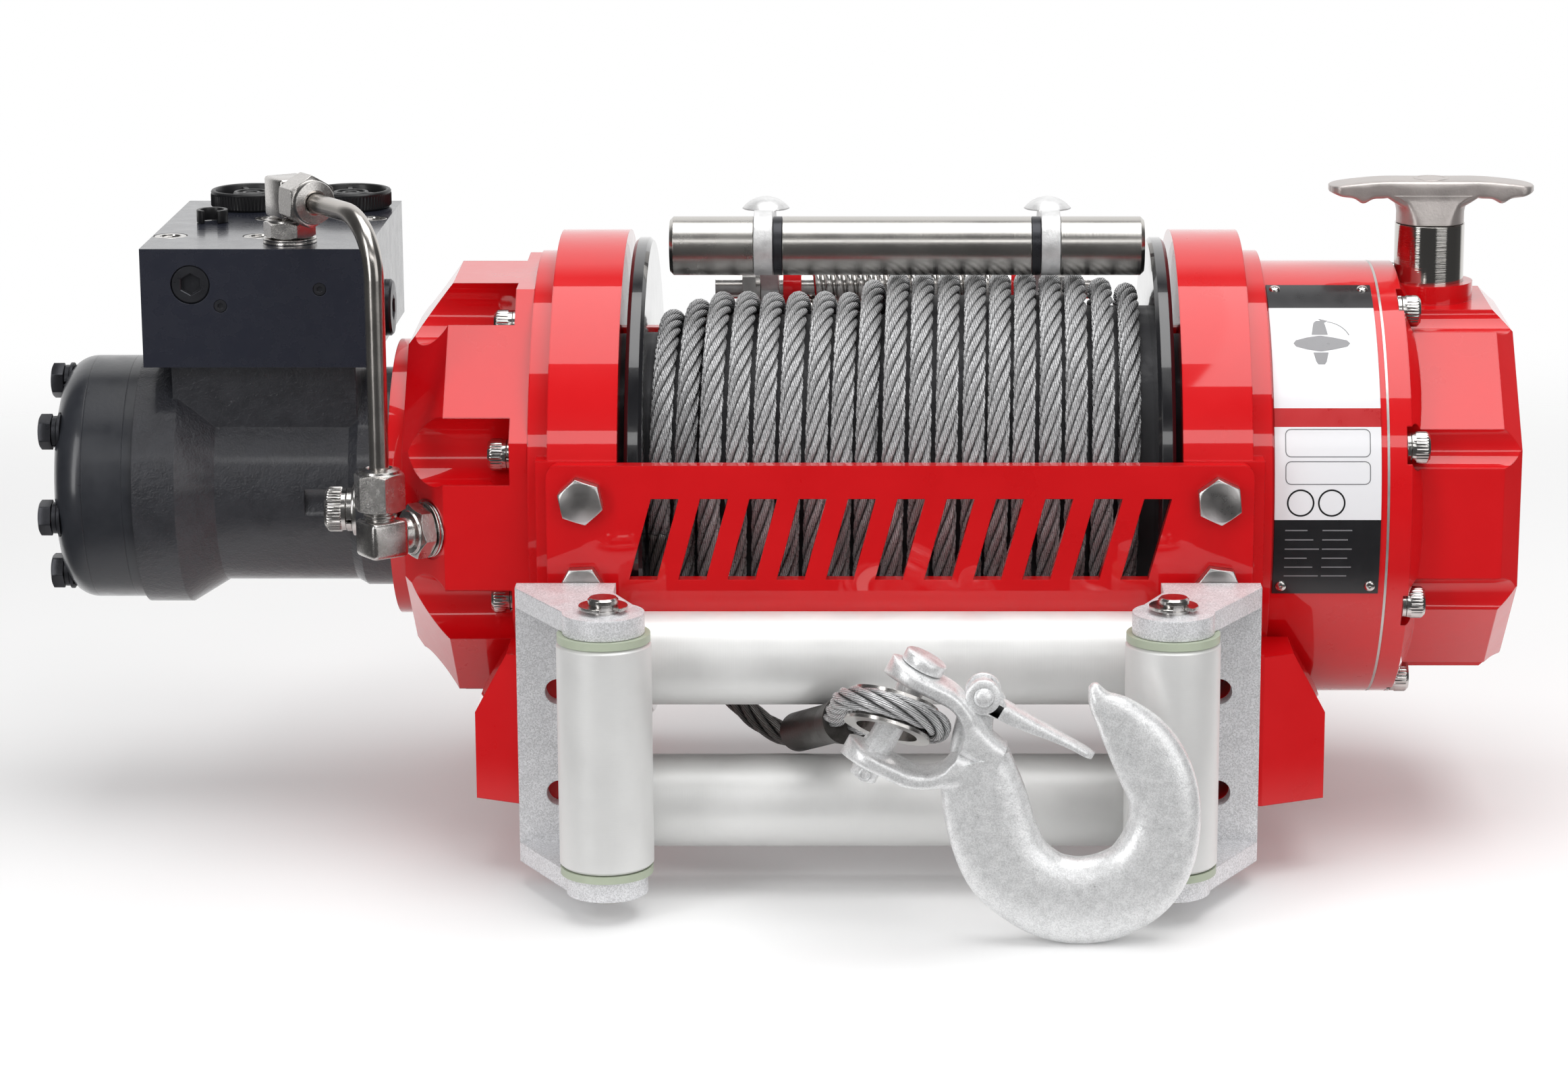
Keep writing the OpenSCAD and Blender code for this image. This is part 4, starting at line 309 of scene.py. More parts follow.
class Piece:
    def __init__(self):
        self.bm = bmesh.new()

    def put(self, verts, faces, at=None, bevel=0.0, steps=2, mat=0, angle=28):
        """Adds a mesh, with its edges sharper than an angle in degrees bevelled."""
        part = bmesh.new()
        made = [part.verts.new(v) for v in verts]
        for face in faces:
            part.faces.new([made[i] for i in face]).material_index = mat
        bmesh.ops.remove_doubles(part, verts=part.verts, dist=1e-5)
        bmesh.ops.recalc_face_normals(part, faces=part.faces)
        if bevel:
            part.normal_update()
            sharp = [e for e in part.edges if len(e.link_faces) == 2
                     and e.calc_face_angle(0) > radians(angle)]
            bmesh.ops.bevel(part, geom=sharp, offset=bevel, segments=steps, profile=0.5, affect="EDGES",
                            clamp_overlap=True)
        if at is not None:
            part.transform(at)
        mesh = bpy.data.meshes.new("part")
        part.to_mesh(mesh)
        part.free()
        self.bm.from_mesh(mesh)
        bpy.data.meshes.remove(mesh)

    def loft(self, rings, closed=False, **more):
        """Skins rings of points with equal counts, and caps both ends unless it is closed."""
        n = len(rings[0])
        verts = [p for r in rings for p in r]
        faces = []
        for i in range(len(rings) if closed else len(rings) - 1):
            a, b = i * n, (i + 1) % len(rings) * n
            faces += [(a + j, a + (j + 1) % n, b + (j + 1) % n, b + j) for j in range(n)]
        if not closed:
            faces.append(tuple(reversed(range(n))))
            faces.append(tuple(range(len(verts) - n, len(verts))))
        self.put(verts, faces, **more)

    def turned(self, profile, seg=48, **more):
        """Turns (radius, height) points round Z. A list of radii gives a corner its own outline, and a
        closed profile makes a ring."""
        self.loft([circle(r, z, seg) for r, z in profile], **more)

    def disc(self, radius, low, high, seg=24, **more):
        self.turned([(0.01, low), (radius, low), (radius, high), (0.01, high)], seg=seg, **more)

    def washer(self, bore, radius, low, high, **more):
        self.turned([(bore, low), (radius, low), (radius, high), (bore, high)], closed=True, **more)

    def prism(self, outline, low, high, **more):
        self.loft([[(x, y, low) for x, y in outline], [(x, y, high) for x, y in outline]], **more)

    def box(self, size, centre, **more):
        x, y, z = (s / 2 for s in size)
        cx, cy, cz = centre
        self.prism([(cx - x, cy - y), (cx + x, cy - y), (cx + x, cy + y), (cx - x, cy + y)], cz - z, cz + z,
                   **more)

    def bolt_head(self, flats, low, high, bevel, at):
        """A hexagon with a turned chamfer at its high end."""
        outline = hexagon_radii(flats, 72)
        crown = flats / 2 * CROWN_SHARE
        self.loft([circle(outline, low), circle(outline, [high - (r - crown) * 0.45 for r in outline]),
                   circle(crown, high, 72)], bevel=bevel, angle=35, at=at)

    def nut(self, flats, low, high, at):
        """A hexagon nut chamfered at both ends."""
        outline = hexagon_radii(flats, 72)
        crown = flats / 2 * CROWN_SHARE
        self.loft([circle(crown, low, 72), circle(outline, [low + (r - crown) * 0.55 for r in outline]),
                   circle(outline, (low + high) / 2),
                   circle(outline, [high - (r - crown) * 0.55 for r in outline]), circle(crown, high, 72)],
                  at=at)

    def cap_head(self, radius, low, high, socket, at, teeth=30):
        """A knurled cap screw head with a hexagon socket."""
        seg = teeth * 4
        knurl = [radius - (0.0, 0.045, 0.045, 0.0)[j % 4] * radius for j in range(seg)]
        edge = (high - low) * 0.13
        plain = radius * 0.955
        deep = high - (high - low) * 0.62
        hexed = hexagon_radii(socket * 2, seg)
        self.turned([(plain, low), (plain, low + edge * 1.5), (knurl, low + edge * 2),
                     (knurl, high - edge * 1.6), (plain, high - edge), (plain - edge, high),
                     ([r * 1.06 for r in hexed], high), (hexed, high - edge * 0.6), (hexed, deep),
                     (socket * 0.05, deep - socket * 0.3)], seg=seg, at=at)

    def spring_washer(self, radius, bore, low, high, at, gap=0.16):
        """A split washer, its ends a gap in radians apart."""
        seg = 40
        rings = []
        for j in range(seg + 1):
            a = gap / 2 + (2 * pi - gap) * j / seg
            lift = (high - low) * 0.12 * (j / seg - 0.5)
            corners = ((bore, low), (radius, low), (radius, high), (bore, high))
            rings.append([(r * cos(a), r * sin(a), z + lift) for r, z in corners])
        self.loft(rings, bevel=(high - low) * 0.12, steps=1, angle=60, at=at)

    def tube(self, centres, radius, seg):
        rings, side = [], None
        for i, c in enumerate(centres):
            way = (centres[min(i + 1, len(centres) - 1)] - centres[max(i - 1, 0)]).normalized()
            side = way.orthogonal() if side is None else side - side.dot(way) * way
            side.normalize()
            up = way.cross(side)
            rings.append([tuple(c + radius * (cos(a) * side + sin(a) * up)) for a in angles(seg)])
        self.loft(rings)

    def done(self, name, materials, replaces, body="frame", smooth=32):
        self.bm.transform(Matrix.Scale(MM, 4))
        mesh = bpy.data.meshes.new(name)
        self.bm.to_mesh(mesh)
        self.bm.free()
        return finished(name, mesh, body, materials, replaces, smooth)


def finished(name, mesh, body, materials, replaces, smooth):
    """Makes the object, smooth but for edges over an angle in degrees, and hands it to the frame."""
    made = bpy.data.objects.new(name, mesh)
    SCENE.collection.objects.link(made)
    for material in materials:
        mesh.materials.append(material)
    mesh.polygons.foreach_set("use_smooth", [True] * len(mesh.polygons))
    if smooth < 180:
        mesh.set_sharp_from_angle(angle=radians(smooth))
    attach(made, body)
    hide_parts(*replaces)
    return made


def around(count, radius, first, x):
    """Points on a circle round the drum axis."""
    for k in range(count):
        a = radians(first + k * 360 / count)
        yield Vector((x, -radius * cos(a), AXIS_Z + radius * sin(a)))


def spline(points, steps):
    """The smooth curve that the CAD source draws through given points."""
    p = [np.array(q, float) for q in points]
    out = []
    for i in range(len(p) - 1):
        a = 2 * p[0] - p[1] if i == 0 else p[i - 1]
        d = 2 * p[-1] - p[-2] if i == len(p) - 2 else p[i + 2]
        b, c = p[i], p[i + 1]
        for s in range(steps):
            t = s / steps
            out.append(0.5 * (2 * b + (c - a) * t + (2 * a - 5 * b + 4 * c - d) * t * t
                              + (3 * b - a - 3 * c + d) * t ** 3))
    return np.array(out + [p[-1]])


# Stranded wire rope, in millimetres

STRANDS, STRAND_SIDES, LAY = 6, 12, 60.0
STRAND_R = ROPE_D / 6 * 1.02
WIRES, WIRE_LAY, WIRE_DEPTH = 12, 30.0, 0.35


def rope_material(name, colour, rough, crease_shade):
    """Galvanised strands. U runs round the wires of a strand, so that its sine raises each wire, and V is
    1 on the outside of the rope and 0 in the grooves between strands. Painted shade darkens the colour
    between the wires and in the grooves; the last argument is its darkest level."""
    material = bpy.data.materials.new(name)
    tree, shader = node_tree(material)
    uv = add(tree, "ShaderNodeUVMap", uv_map="wires").outputs[0]
    split = add(tree, "ShaderNodeSeparateXYZ", uv).outputs
    turn = add(tree, "ShaderNodeMath", split["X"], pi, operation="MULTIPLY").outputs[0]
    wave = add(tree, "ShaderNodeMath", turn, operation="SINE").outputs[0]
    high = add(tree, "ShaderNodeMath", wave, operation="ABSOLUTE").outputs[0]
    bump = add(tree, "ShaderNodeBump", Strength=1.0, Distance=WIRE_DEPTH * MM, Height=high).outputs[0]
    # Painted shade: darker where the wave is low, between wires, and where V is low, in the grooves between
    # strands
    wires = ramp(tree, high, [(0.0, crease_shade), (0.45, 0.85), (1.0, 1.0)])
    grooves = ramp(tree, split["Y"], [(0.0, crease_shade), (0.45, 0.75), (0.8, 1.0)])
    stain = ramp(tree, noise(tree, 70.0, 5.0), [(0.3, [c * 0.82 for c in colour]), (0.7, colour)])
    shades = multiplied(tree, multiplied(tree, wires, stain), grooves)
    roughness = ramp(tree, noise(tree, 900.0, 4.0), [(0.3, rough * 0.8), (0.7, rough * 1.3)])
    give(tree, shader, {"Metallic": 0.6, "Base Color": shades, "Roughness": roughness, "Normal": bump})
    return material


# The last number is the darkest level of the painted shade in the rope's creases
rope_steel = rope_material("rope_steel", (0.84, 0.84, 0.85), 0.30, 0.22)
rope_worn = rope_material("rope_greased", (0.30, 0.29, 0.28), 0.34, 0.15)


def unit(rows):
    return rows / np.linalg.norm(rows, axis=1)[:, None]


def resample(path, step):
    """Points a step apart along a path, and how far along it each lies."""
    path = np.asarray(path, float)
    gaps = np.linalg.norm(np.diff(path, axis=0), axis=1)
    at = np.concatenate([[0], np.cumsum(gaps)])
    want = np.linspace(0, at[-1], max(2, int(round(at[-1] / step)) + 1))
    return np.stack([np.interp(want, at, path[:, k]) for k in range(3)], 1), want


def square_to(path, hint):
    """Two square directions along a path, carried without twist."""
    way = unit(np.gradient(path, axis=0))
    side = np.zeros_like(path)
    v = np.array(hint, float)
    for i in range(len(path)):
        v = v - way[i] * v.dot(way[i])
        v /= np.linalg.norm(v)
        side[i] = v
    return side, np.cross(way, side)


def stranded(name, path, body, material, replaces, hint, step=4.5):
    """Six twisted strands along a path. Returns the object and the rope's centre line."""
    centres, at = resample(path, step)
    side, up = square_to(centres, hint)
    turn = 2 * pi * at / LAY
    phase = WIRES * at / WIRE_LAY
    verts, faces, wires = [], [], []
    n, m = len(centres), STRAND_SIDES
    # V is the cosine round each strand, the mask for the rope material's painted shade in the grooves; the
    # end caps get 0, full painted shade
    high = [cos(t) for t in angles(m)]
    for k in range(STRANDS):
        a = turn + k * 2 * pi / STRANDS
        out = np.cos(a)[:, None] * side + np.sin(a)[:, None] * up
        middle = centres + (ROPE_D / 2 - STRAND_R) * out
        heading = unit(np.gradient(middle, axis=0))
        one = unit(out - heading * (out * heading).sum(1)[:, None])
        two = np.cross(heading, one)
        ring = [middle + STRAND_R * (cos(t) * one + sin(t) * two) for t in angles(m)]
        verts.append(np.stack(ring, 1).reshape(-1, 3))
        verts.append(np.array([middle[0], middle[-1]]))
        base = k * (n * m + 2)
        for i in range(n - 1):
            low, top = base + i * m, base + (i + 1) * m
            for j in range(m):
                q = (j + 1) % m
                faces.append((low + j, low + q, top + q, top + j))
                u0, u1 = WIRES * j / m, WIRES * (j + 1) / m
                wires += [(u0 + phase[i], high[j]), (u1 + phase[i], high[q]),
                          (u1 + phase[i + 1], high[q]), (u0 + phase[i + 1], high[j])]
        first, last = base + n * m, base + n * m + 1
        for j in range(m):
            q = (j + 1) % m
            faces.append((first, base + q, base + j))
            faces.append((last, base + (n - 1) * m + j, base + (n - 1) * m + q))
            wires += [(0, 0)] * 6
    mesh = bpy.data.meshes.new(name)
    mesh.from_pydata((np.concatenate(verts) * MM).tolist(), [], faces)
    layer = mesh.uv_layers.new(name="wires")
    layer.data.foreach_set("uv", np.array(wires, np.float32).ravel())
    mesh.update()
    return finished(name, mesh, body, [material], replaces, 180), centres


# The winding: its radius changes at three of its turns, each time within half a turn

FIRST_X, TURNS = 98.4, 18.6
PITCH = 2 * FIRST_X / TURNS
RADII, CLIMBS, CLIMB = (65.7, 73.2, 81.35, 77.0), (1, 8, 17), 0.5
SWELL, SWELL_RATE = 0.25, 4.1
WANDERS = ((0.32, 5.3), (0.15, 2.2))


def wind_at(t):
    """The winding's centre line, with the small unevenness of rope wound by hand."""
    r = np.full_like(t, RADII[0])
    for k, start in enumerate(CLIMBS):
        s = np.clip((t - start) / CLIMB, 0, 1)
        r = r + (RADII[k + 1] - RADII[k]) * s * s * (3 - 2 * s)
    r = r + SWELL * np.sin(t * SWELL_RATE) * np.clip(t - 1, 0, 1)
    wander = sum(wide * np.sin(t * rate) for wide, rate in WANDERS)
    return np.stack([t * PITCH - FIRST_X + wander * np.clip(t, 0, 1), -r * np.cos(2 * np.pi * t),
                     AXIS_Z + r * np.sin(2 * np.pi * t)], 1)


wound = wind_at(np.linspace(0, TURNS, 3000))
last_way = np.array([0, -sin(2 * pi * TURNS), -cos(2 * pi * TURNS)])
wind_path = np.concatenate([[wound[0] - (0, 0, ROPE_D)], wound, [wound[-1] - last_way * ROPE_D]])
stranded("rope_winding_strands", wind_path, "drum", rope_steel, ["rope_winding"], (1, 0, 0))

# The rope's free end: its route is the CAD source's, in metres
TAIL_DROPS = (0.0096, 0.0095)
TAIL_ROUTE = np.array([[-0.098, -0.067, 0.082], [-0.096, -0.072, 0.072], [-0.091, -0.079, 0.062],
                       [-0.083, -0.085, 0.053], [-0.074, -0.090, 0.045], [-0.066, -0.093, 0.038],
                       [-0.059, -0.096, 0.032], [-0.052, -0.099, 0.028], [-0.047, -0.101, 0.026],
                       [-0.044, -0.104, 0.027], [-0.041, -0.112, 0.030]])
tail_top = wound[0] * MM - np.array([0, 0, TAIL_DROPS[0]])
tail_start = tail_top - (0, 0, TAIL_DROPS[1])
tail_line = np.concatenate([[tail_top], spline(np.concatenate([[tail_start], TAIL_ROUTE]), 8)])
tail, tail_path = stranded("rope_tail_strands", tail_line * 1000, "frame", rope_worn, ["rope_tail"],
                           (1, 0, 0), step=2.5)

# The eye round the thimble, from one side of the ferrule to the other
THIMBLE_R, THIMBLE_WALL, ROPE_GAP, EYE_SET_BACK = 12, 2, 0.3, 1.5
EYE_R = THIMBLE_R + THIMBLE_WALL + ROPE_D / 2 + ROPE_GAP
FERRULE_END = np.array([-21.0, -165, 50])
tail_end = TAIL_ROUTE[-1] * 1000
ferrule_way = (FERRULE_END - tail_end) / np.linalg.norm(FERRULE_END - tail_end)
pin_way = np.array([sin(HOOK_TILT), 0, cos(HOOK_TILT)])
eye_at = HOOK_PIN - EYE_SET_BACK * np.array([cos(HOOK_TILT), 0, -sin(HOOK_TILT)])
eye_way = (eye_at - FERRULE_END) / np.linalg.norm(eye_at - FERRULE_END)
eye_axis = pin_way - pin_way.dot(eye_way) * eye_way
eye_axis /= np.linalg.norm(eye_axis)
eye_side = np.cross(eye_axis, eye_way)
leg = eye_side - eye_side.dot(ferrule_way) * ferrule_way
leg *= (ROPE_D / 2 + ROPE_GAP) / np.linalg.norm(leg)
eye_line = np.concatenate([
    [FERRULE_END - leg, FERRULE_END - leg + ROPE_D / 2 * ferrule_way],
    [eye_at + EYE_R * (cos(a) * eye_way + sin(a) * eye_side)
     for a in np.radians(np.linspace(-118, 118, 60))],
    [FERRULE_END + leg + ROPE_D / 2 * ferrule_way, FERRULE_END + leg]])
eye, _ = stranded("rope_eye_strands", eye_line, "frame", rope_steel, ["rope_tail"], eye_axis, step=2.5)


# Screws and bolts. The short shanks below their heads start half a millimetre inside the seat

SUNK = -0.5
# Facing side, face, circle radius and first angle of each housing's eight screws
HOUSING_SCREWS = ((1, GEAR_FACE, 85.0, 20.0), (-1, BRAKE_FACE, 79.3, 18.5))
# X, height and turn of the tie plates' bolts
TIE_BOLTS = ((-TIE_BOLT_X, 124.8, 12), (-TIE_BOLT_X, 89.2, 32),
             (TIE_BOLT_X, 124.8, 5), (TIE_BOLT_X, 89.2, 22))
FLANGE_SCREW_Y, FLANGE_SCREW_Z = 53, 108.5
BLOCK_SCREWS = ((-302.3, -13.2), (-265.3, -13.2), (-267.2, 33.6), (-224.7, 33.6))

heads = Piece()
for side, face, radius, first in HOUSING_SCREWS:
    for k, spot in enumerate(around(8, radius, first, face)):
        at = facing(spot, (side, 0, 0), k * 1.7)
        heads.spring_washer(6.3, 4.1, 0.1, 1.9, at)
        heads.disc(4.0, SUNK, 2.6, at=at)
        heads.cap_head(6.5, 2.1, 9.6, 3.1, at)
heads.done("housing_screw_heads", [zinc_bright], ["housing_screws"])

bolts = Piece()
for x, z, turn in TIE_BOLTS:
    for side in (-1, 1):
        at = facing((x, side * TIE_FACE, z), (0, side, 0), radians(turn))
        bolts.disc(7.9, SUNK, 0.5, seg=40, at=at)
        bolts.bolt_head(16.4, 0.4, 6.6, 0.15, at)
bolts.done("tie_plate_bolt_heads", [zinc_satin], ["tie_plate_bolts"])

cover_bolts = Piece()
for k, spot in enumerate(around(7, 41, 90, MOTOR_END)):
    at = facing(spot, (-1, 0, 0), k * 0.9)
    cover_bolts.disc(4.0, SUNK, 4.5, at=at)
    cover_bolts.washer(3.9, 7.6, 0.1, 1.5, seg=40, bevel=0.2, steps=1, at=at)
    cover_bolts.spring_washer(6.6, 4.1, 1.7, 3.8, at)
    cover_bolts.bolt_head(13, 4.0, 9.2, 0.12, at)
cover_bolts.done("motor_cover_bolt_heads", [black_steel], ["motor_cover_bolts"])

flange_screws = Piece()
for side in (-1, 1):
    at = facing((MOTOR_FLANGE, side * FLANGE_SCREW_Y, FLANGE_SCREW_Z), (-1, 0, 0), side * 0.4)
    flange_screws.washer(5, 11, 0.05, 2.3, bevel=0.3, at=at)
    flange_screws.spring_washer(9.2, 5.9, 2.5, 5.0, at)
    flange_screws.disc(5.8, SUNK, 5.4, at=at)
    flange_screws.cap_head(9.3, 5.2, 13.9, 4.6, at, teeth=44)
flange_screws.done("motor_flange_screw_heads", [zinc_bright], ["motor_flange_screws"])

block_screws = Piece()
for x, y in BLOCK_SCREWS:
    hexed = hexagon_radii(6.4)
    block_screws.turned([(6.9, -3.4), (6.9, -0.35), (6.4, -0.02), (4.4, -0.02), (4.1, -0.7),
                         ([r * 1.04 for r in hexed], -0.7), (hexed, -1.0), (hexed, -3.2), (0.05, -3.3)],
                        at=moved(x, y, BLOCK_TOP))
block_screws.done("block_screw_heads", [zinc_bright], ["valve_block_screws"])

# Place, direction, radius, socket size and height of the block's plugs
BLOCK_PLUGS = (((-289.4, BLOCK_FRONT, 200.9), (0, -1, 0), 8.0, 4.2, -0.4),
               ((-277.4, BLOCK_FRONT, 192), (0, -1, 0), 2.7, 1.2, -0.3),
               ((-236.7, BLOCK_FRONT, 198.9), (0, -1, 0), 2.7, 1.2, -0.3),
               ((-217.3, 18, 180), (1, 0, 0), 12.0, 5.0, 3.0))
plugs = Piece()
for spot, way, radius, socket, proud in BLOCK_PLUGS:
    hexed = hexagon_radii(socket * 1.8)
    low = -3.0 if proud < 0 else 0.05
    plugs.turned([(radius, low), (radius, proud - radius * 0.08), (radius * 0.92, proud),
                  ([r * 1.1 for r in hexed], proud), (hexed, proud - radius * 0.05),
                  (hexed, proud - socket * 0.55), (0.05, proud - socket * 0.6)], at=facing(spot, way))
plugs.done("block_plugs", [black_steel], ["valve_block_plugs"])


# Port caps with knurled rims, hubs and spokes, and their loose strap

CAP_Y, CAP_SIDES = 65, 216
CAP_RIM = [(17.2, 6.6), (17.3, 7.2), (16.9, 7.8), (16.2, 8.05), (15.4, 7.8), (15.0, 7.2), (14.8, 3.4),
           (0.05, 3.4)]
CAP_HUB = [(7.8, 3.2), (7.8, 6.3), (7.3, 6.9), (6.1, 6.9), (5.8, 6.2), (0.05, 6.2)]
CLIP_X, CLIP_Y = -290.5, 23

caps = Piece()
for x, turn in ((-280, 0.35), (-237, 0.15)):
    at = moved(x, CAP_Y, BLOCK_TOP) @ spun(turn)
    knurl = [17.4 if j % 3 == 0 else 16.85 for j in range(CAP_SIDES)]
    caps.turned([(16.2, 0.1), (16.9, 0.9), (knurl, 1.3), (knurl, 6.0), *CAP_RIM], seg=CAP_SIDES, at=at)
    caps.turned(CAP_HUB, seg=56, at=at)
    caps.washer(2.6, 3.9, 6.0, 6.6, seg=40, bevel=0.2, steps=1, at=at)
    for k in range(3):
        spoke = at @ spun(radians(90 + 120 * k))
        caps.box((8.4, 2.3, 3.5), (11.2, 0, 5.1), bevel=0.5, at=spoke)
rings = []
for turn in range(-60, 250, 12):
    c, s = cos(radians(turn)), sin(radians(turn))
    rings.append([(CLIP_X + r * c, CLIP_Y + r * s, BLOCK_TOP + z)
                  for r, z in ((6.6, 0.2), (6.6, 5.6), (4.9, 5.6), (4.9, 0.2))])
caps.loft(rings, bevel=0.35, angle=50)
caps.done("port_cap_details", [black_plastic], ["port_caps"])


# Elbows of the brake line: a seal ring, a nut and a neck at the port, the body, and the line's own nut

UPPER_AT, UPPER_BODY_Z, UPPER_TURN = (-250.6, -29, BLOCK_TOP), 235, radians(-57.2)
LOWER_AT, LOWER_TURN = (-208.6, -94, 106), radians(36.6)
LOWER_PORT, LOWER_WAY = (-191.2, -78.9, 106), (-0.803, -0.596, 0)

upper = Piece()
base = moved(*UPPER_AT)
upper.turned([(5, 0.05), (11.0, 0.05), (11.0, 1.0), (10.7, 1.15), (11.0, 1.3), (11.0, 2.1), (5, 2.1)],
             closed=True, seg=56, bevel=0.15, steps=1, at=base)
upper.nut(19.0, 2.2, 9.2, base @ spun(0.42))
upper.turned([(9.3, 9.0), (9.3, 9.6), (8.6, 10.2), (5.4, 10.4), (5.4, 16), (0.05, 16)], at=base)
elbow = moved(*UPPER_AT[:2], UPPER_BODY_Z) @ spun(UPPER_TURN)
upper.box((16.5, 15, 16.5), (0.75, 0, -0.4), bevel=1.3, steps=3, at=elbow)
across = elbow @ spun(pi / 2, "Y")
upper.turned([(6.4, 7.8), (6.4, 9.4), (7.4, 9.4), (7.4, 10.6), (0.05, 10.6)], at=across)
upper.nut(19.0, 10.6, 23.0, across @ spun(0.5))
upper.turned([(9.0, 22.6), (9.0, 24.6), (8.6, 25.4), (5.2, 25.9), (4.3, 25.4), (4.3, 22.6)], closed=True,
             seg=56, at=across)
upper.done("upper_elbow_details", [zinc_speckled], ["upper_elbow"])

lower = Piece()
foot = moved(*LOWER_AT)
lower.box((17.2, 15.4, 15.4), (0.6, 0, 0), bevel=2.4, steps=4, at=foot @ spun(LOWER_TURN))
lower.turned([(0.05, 7), (6.0, 7), (6.0, 8.2), (6.7, 8.8), (6.7, 9.8), (6.0, 10.2), (6.0, 11.4),
              (0.05, 11.4)], at=foot)
lower.nut(18.6, 11.4, 26.9, foot @ spun(0.32))
lower.turned([(8.6, 26.5), (8.2, 28.0), (5.4, 28.8), (4.2, 28.4), (4.2, 26.5)], closed=True, seg=56, at=foot)
port = facing(LOWER_PORT, LOWER_WAY, 0.3)
lower.turned([(5.5, -0.7), (11.4, -0.7), (11.4, 0.3), (11.0, 0.5), (11.4, 0.7), (11.4, 1.6), (5.5, 1.6)],
             closed=True, seg=56, bevel=0.15, steps=1, at=port)
lower.nut(19.8, 1.7, 8.4, port)
lower.turned([(0.05, 8), (9.0, 8), (8.6, 9.4), (6.4, 9.8), (6.0, 16), (0.05, 16)], at=port)
lower.done("lower_elbow_details", [zinc_speckled], ["lower_elbow"])


# Clutch handle: wings lofted along X over a waisted neck with flat faces

WING, WING_TOP, WING_DEEP = 42.4, 18.7, 9.8
LIP_AT, ROOT_TO, ROUND_FROM = 28.7, 19, 37
NECK = ((0.4, 14.1), (3, 14.1), (5, 14.1), (7, 14.5), (8.6, 15.1), (9.8, 16.2), (10.8, 17.8), (11.6, 20.0),
        (12.4, 22.5))
NECK_R, NECK_FACE, NECK_FACE_TOP = 14.1, 13.0, 9.75


def wing_ring(x):
    """The handle's section at x from its middle."""
    s = abs(x)
    top = WING_TOP - 2.7 * max(0.0, (s - 14) / 28.4) ** 2
    under = 11.2 + 1.1 * max(0.0, (s - 30) / 12.4)
    under -= 2.6 * exp(-((s - LIP_AT) / 3.0) ** 2) - 0.25 * cos(pi * (s - LIP_AT) / 7)
    if s < ROOT_TO:
        under = 11.4 - 8.4 * (1 - (s / ROOT_TO) ** 1.6)
    deep = WING_DEEP - 0.7 * (s / WING) ** 2
    if s > ROUND_FROM:
        deep *= max(0.12, 1 - ((s - ROUND_FROM) / 5.6) ** 2.4) ** 0.5
        under += (top - under) * 0.25 * ((s - ROUND_FROM) / 5.4) ** 2
    mid, half = (top + under) / 2, (top - under) / 2
    return [(x, deep * bulged(cos(a), 0.28), mid + half * bulged(sin(a), 0.34))
            for a in angles(36, 0.5)]


handle = Piece()
stand = moved(CLUTCH_X, 0, SLEEVE_TOP)
handle.loft([wing_ring(WING * sin(pi / 2 * (i / 48 - 1))) for i in range(97)], at=stand)
rings = []
for z, wide in NECK:
    face = NECK_FACE - (NECK_FACE - NECK_FACE_TOP) * min(1, z / 11.5)
    rings.append([(wide * cos(a), max(-face, min(face, NECK_R * sin(a))), z) for a in angles(64)])
handle.loft(rings, at=stand)
hexed = hexagon_radii(10.4)
handle.turned([(7.4, 18.2), (7.4, 18.78), (5.9, 18.78), (hexed, 18.4), (hexed, 18.15)], at=stand)
handle.done("clutch_handle_cast", [handle_cast], ["clutch_handle"], "clutch_knob", smooth=40)


# Tensioner spring: curls along X, with both ends led back to the arms

CURLS, CURL_STEPS, CURL_R, WIRE_R = 18, 20, 8.3, 1.95
SPRING_X, SPRING_Y, SPRING_Z, SPRING_HALF = 3, 95, 176, 42
LEG = Vector((0, 4, 0))

coil = []
for i in range(CURLS * CURL_STEPS + 1):
    turn = 2 * pi * i / CURL_STEPS
    coil.append(Vector((SPRING_X + (2 * i / (CURLS * CURL_STEPS) - 1) * SPRING_HALF,
                        SPRING_Y + CURL_R * sin(turn), SPRING_Z - CURL_R * cos(turn))))
spring = Piece()
spring.tube([coil[0] - 2 * LEG, coil[0] - LEG] + coil + [coil[-1] + LEG, coil[-1] + 2 * LEG], WIRE_R, 14)
spring.done("tensioner_spring_wire", [zinc_bright], ["tensioner_spring"], smooth=180)


# Roller pins: the upright ones have a head below and a clip in a groove above

UPRIGHT_X, UPRIGHT_Y, UPRIGHT_Z = (-115.0, 105.8), -163, -20.4
UPRIGHT_PIN = [(0.05, -3), (8.2, -3), (9.0, -2.2), (9.0, -0.6), (8.4, -0.06), (6.0, -0.06), (6.0, 114.2),
               (5.3, 114.2), (5.3, 116.4), (6.0, 116.6), (6.0, 118.2), (5.2, 119), (0.05, 119)]
LONG_X, LONG_Y, LONG_Z = -4.6, -125, (5.5, 64.2)
LONG_PIN = [(0.05, -115.8), (5.2, -115.8), (6.0, -115), (6.0, 115), (5.2, 115.8), (0.05, 115.8)]

pins = Piece()
for x in UPRIGHT_X:
    at = moved(x, UPRIGHT_Y, UPRIGHT_Z)
    pins.turned(UPRIGHT_PIN, seg=56, at=at)
    pins.spring_washer(9.6, 5.4, 114.5, 115.9, at @ spun(-1.2), gap=0.9)
for z in LONG_Z:
    pins.turned(LONG_PIN, at=facing((LONG_X, LONG_Y, z), (1, 0, 0)))
pins.done("roller_pin_details", [zinc_bright], ["roller_pins"])


# Data plate: bare bands, lines and outlines, placed by X and by degrees or arc lengths round the housing

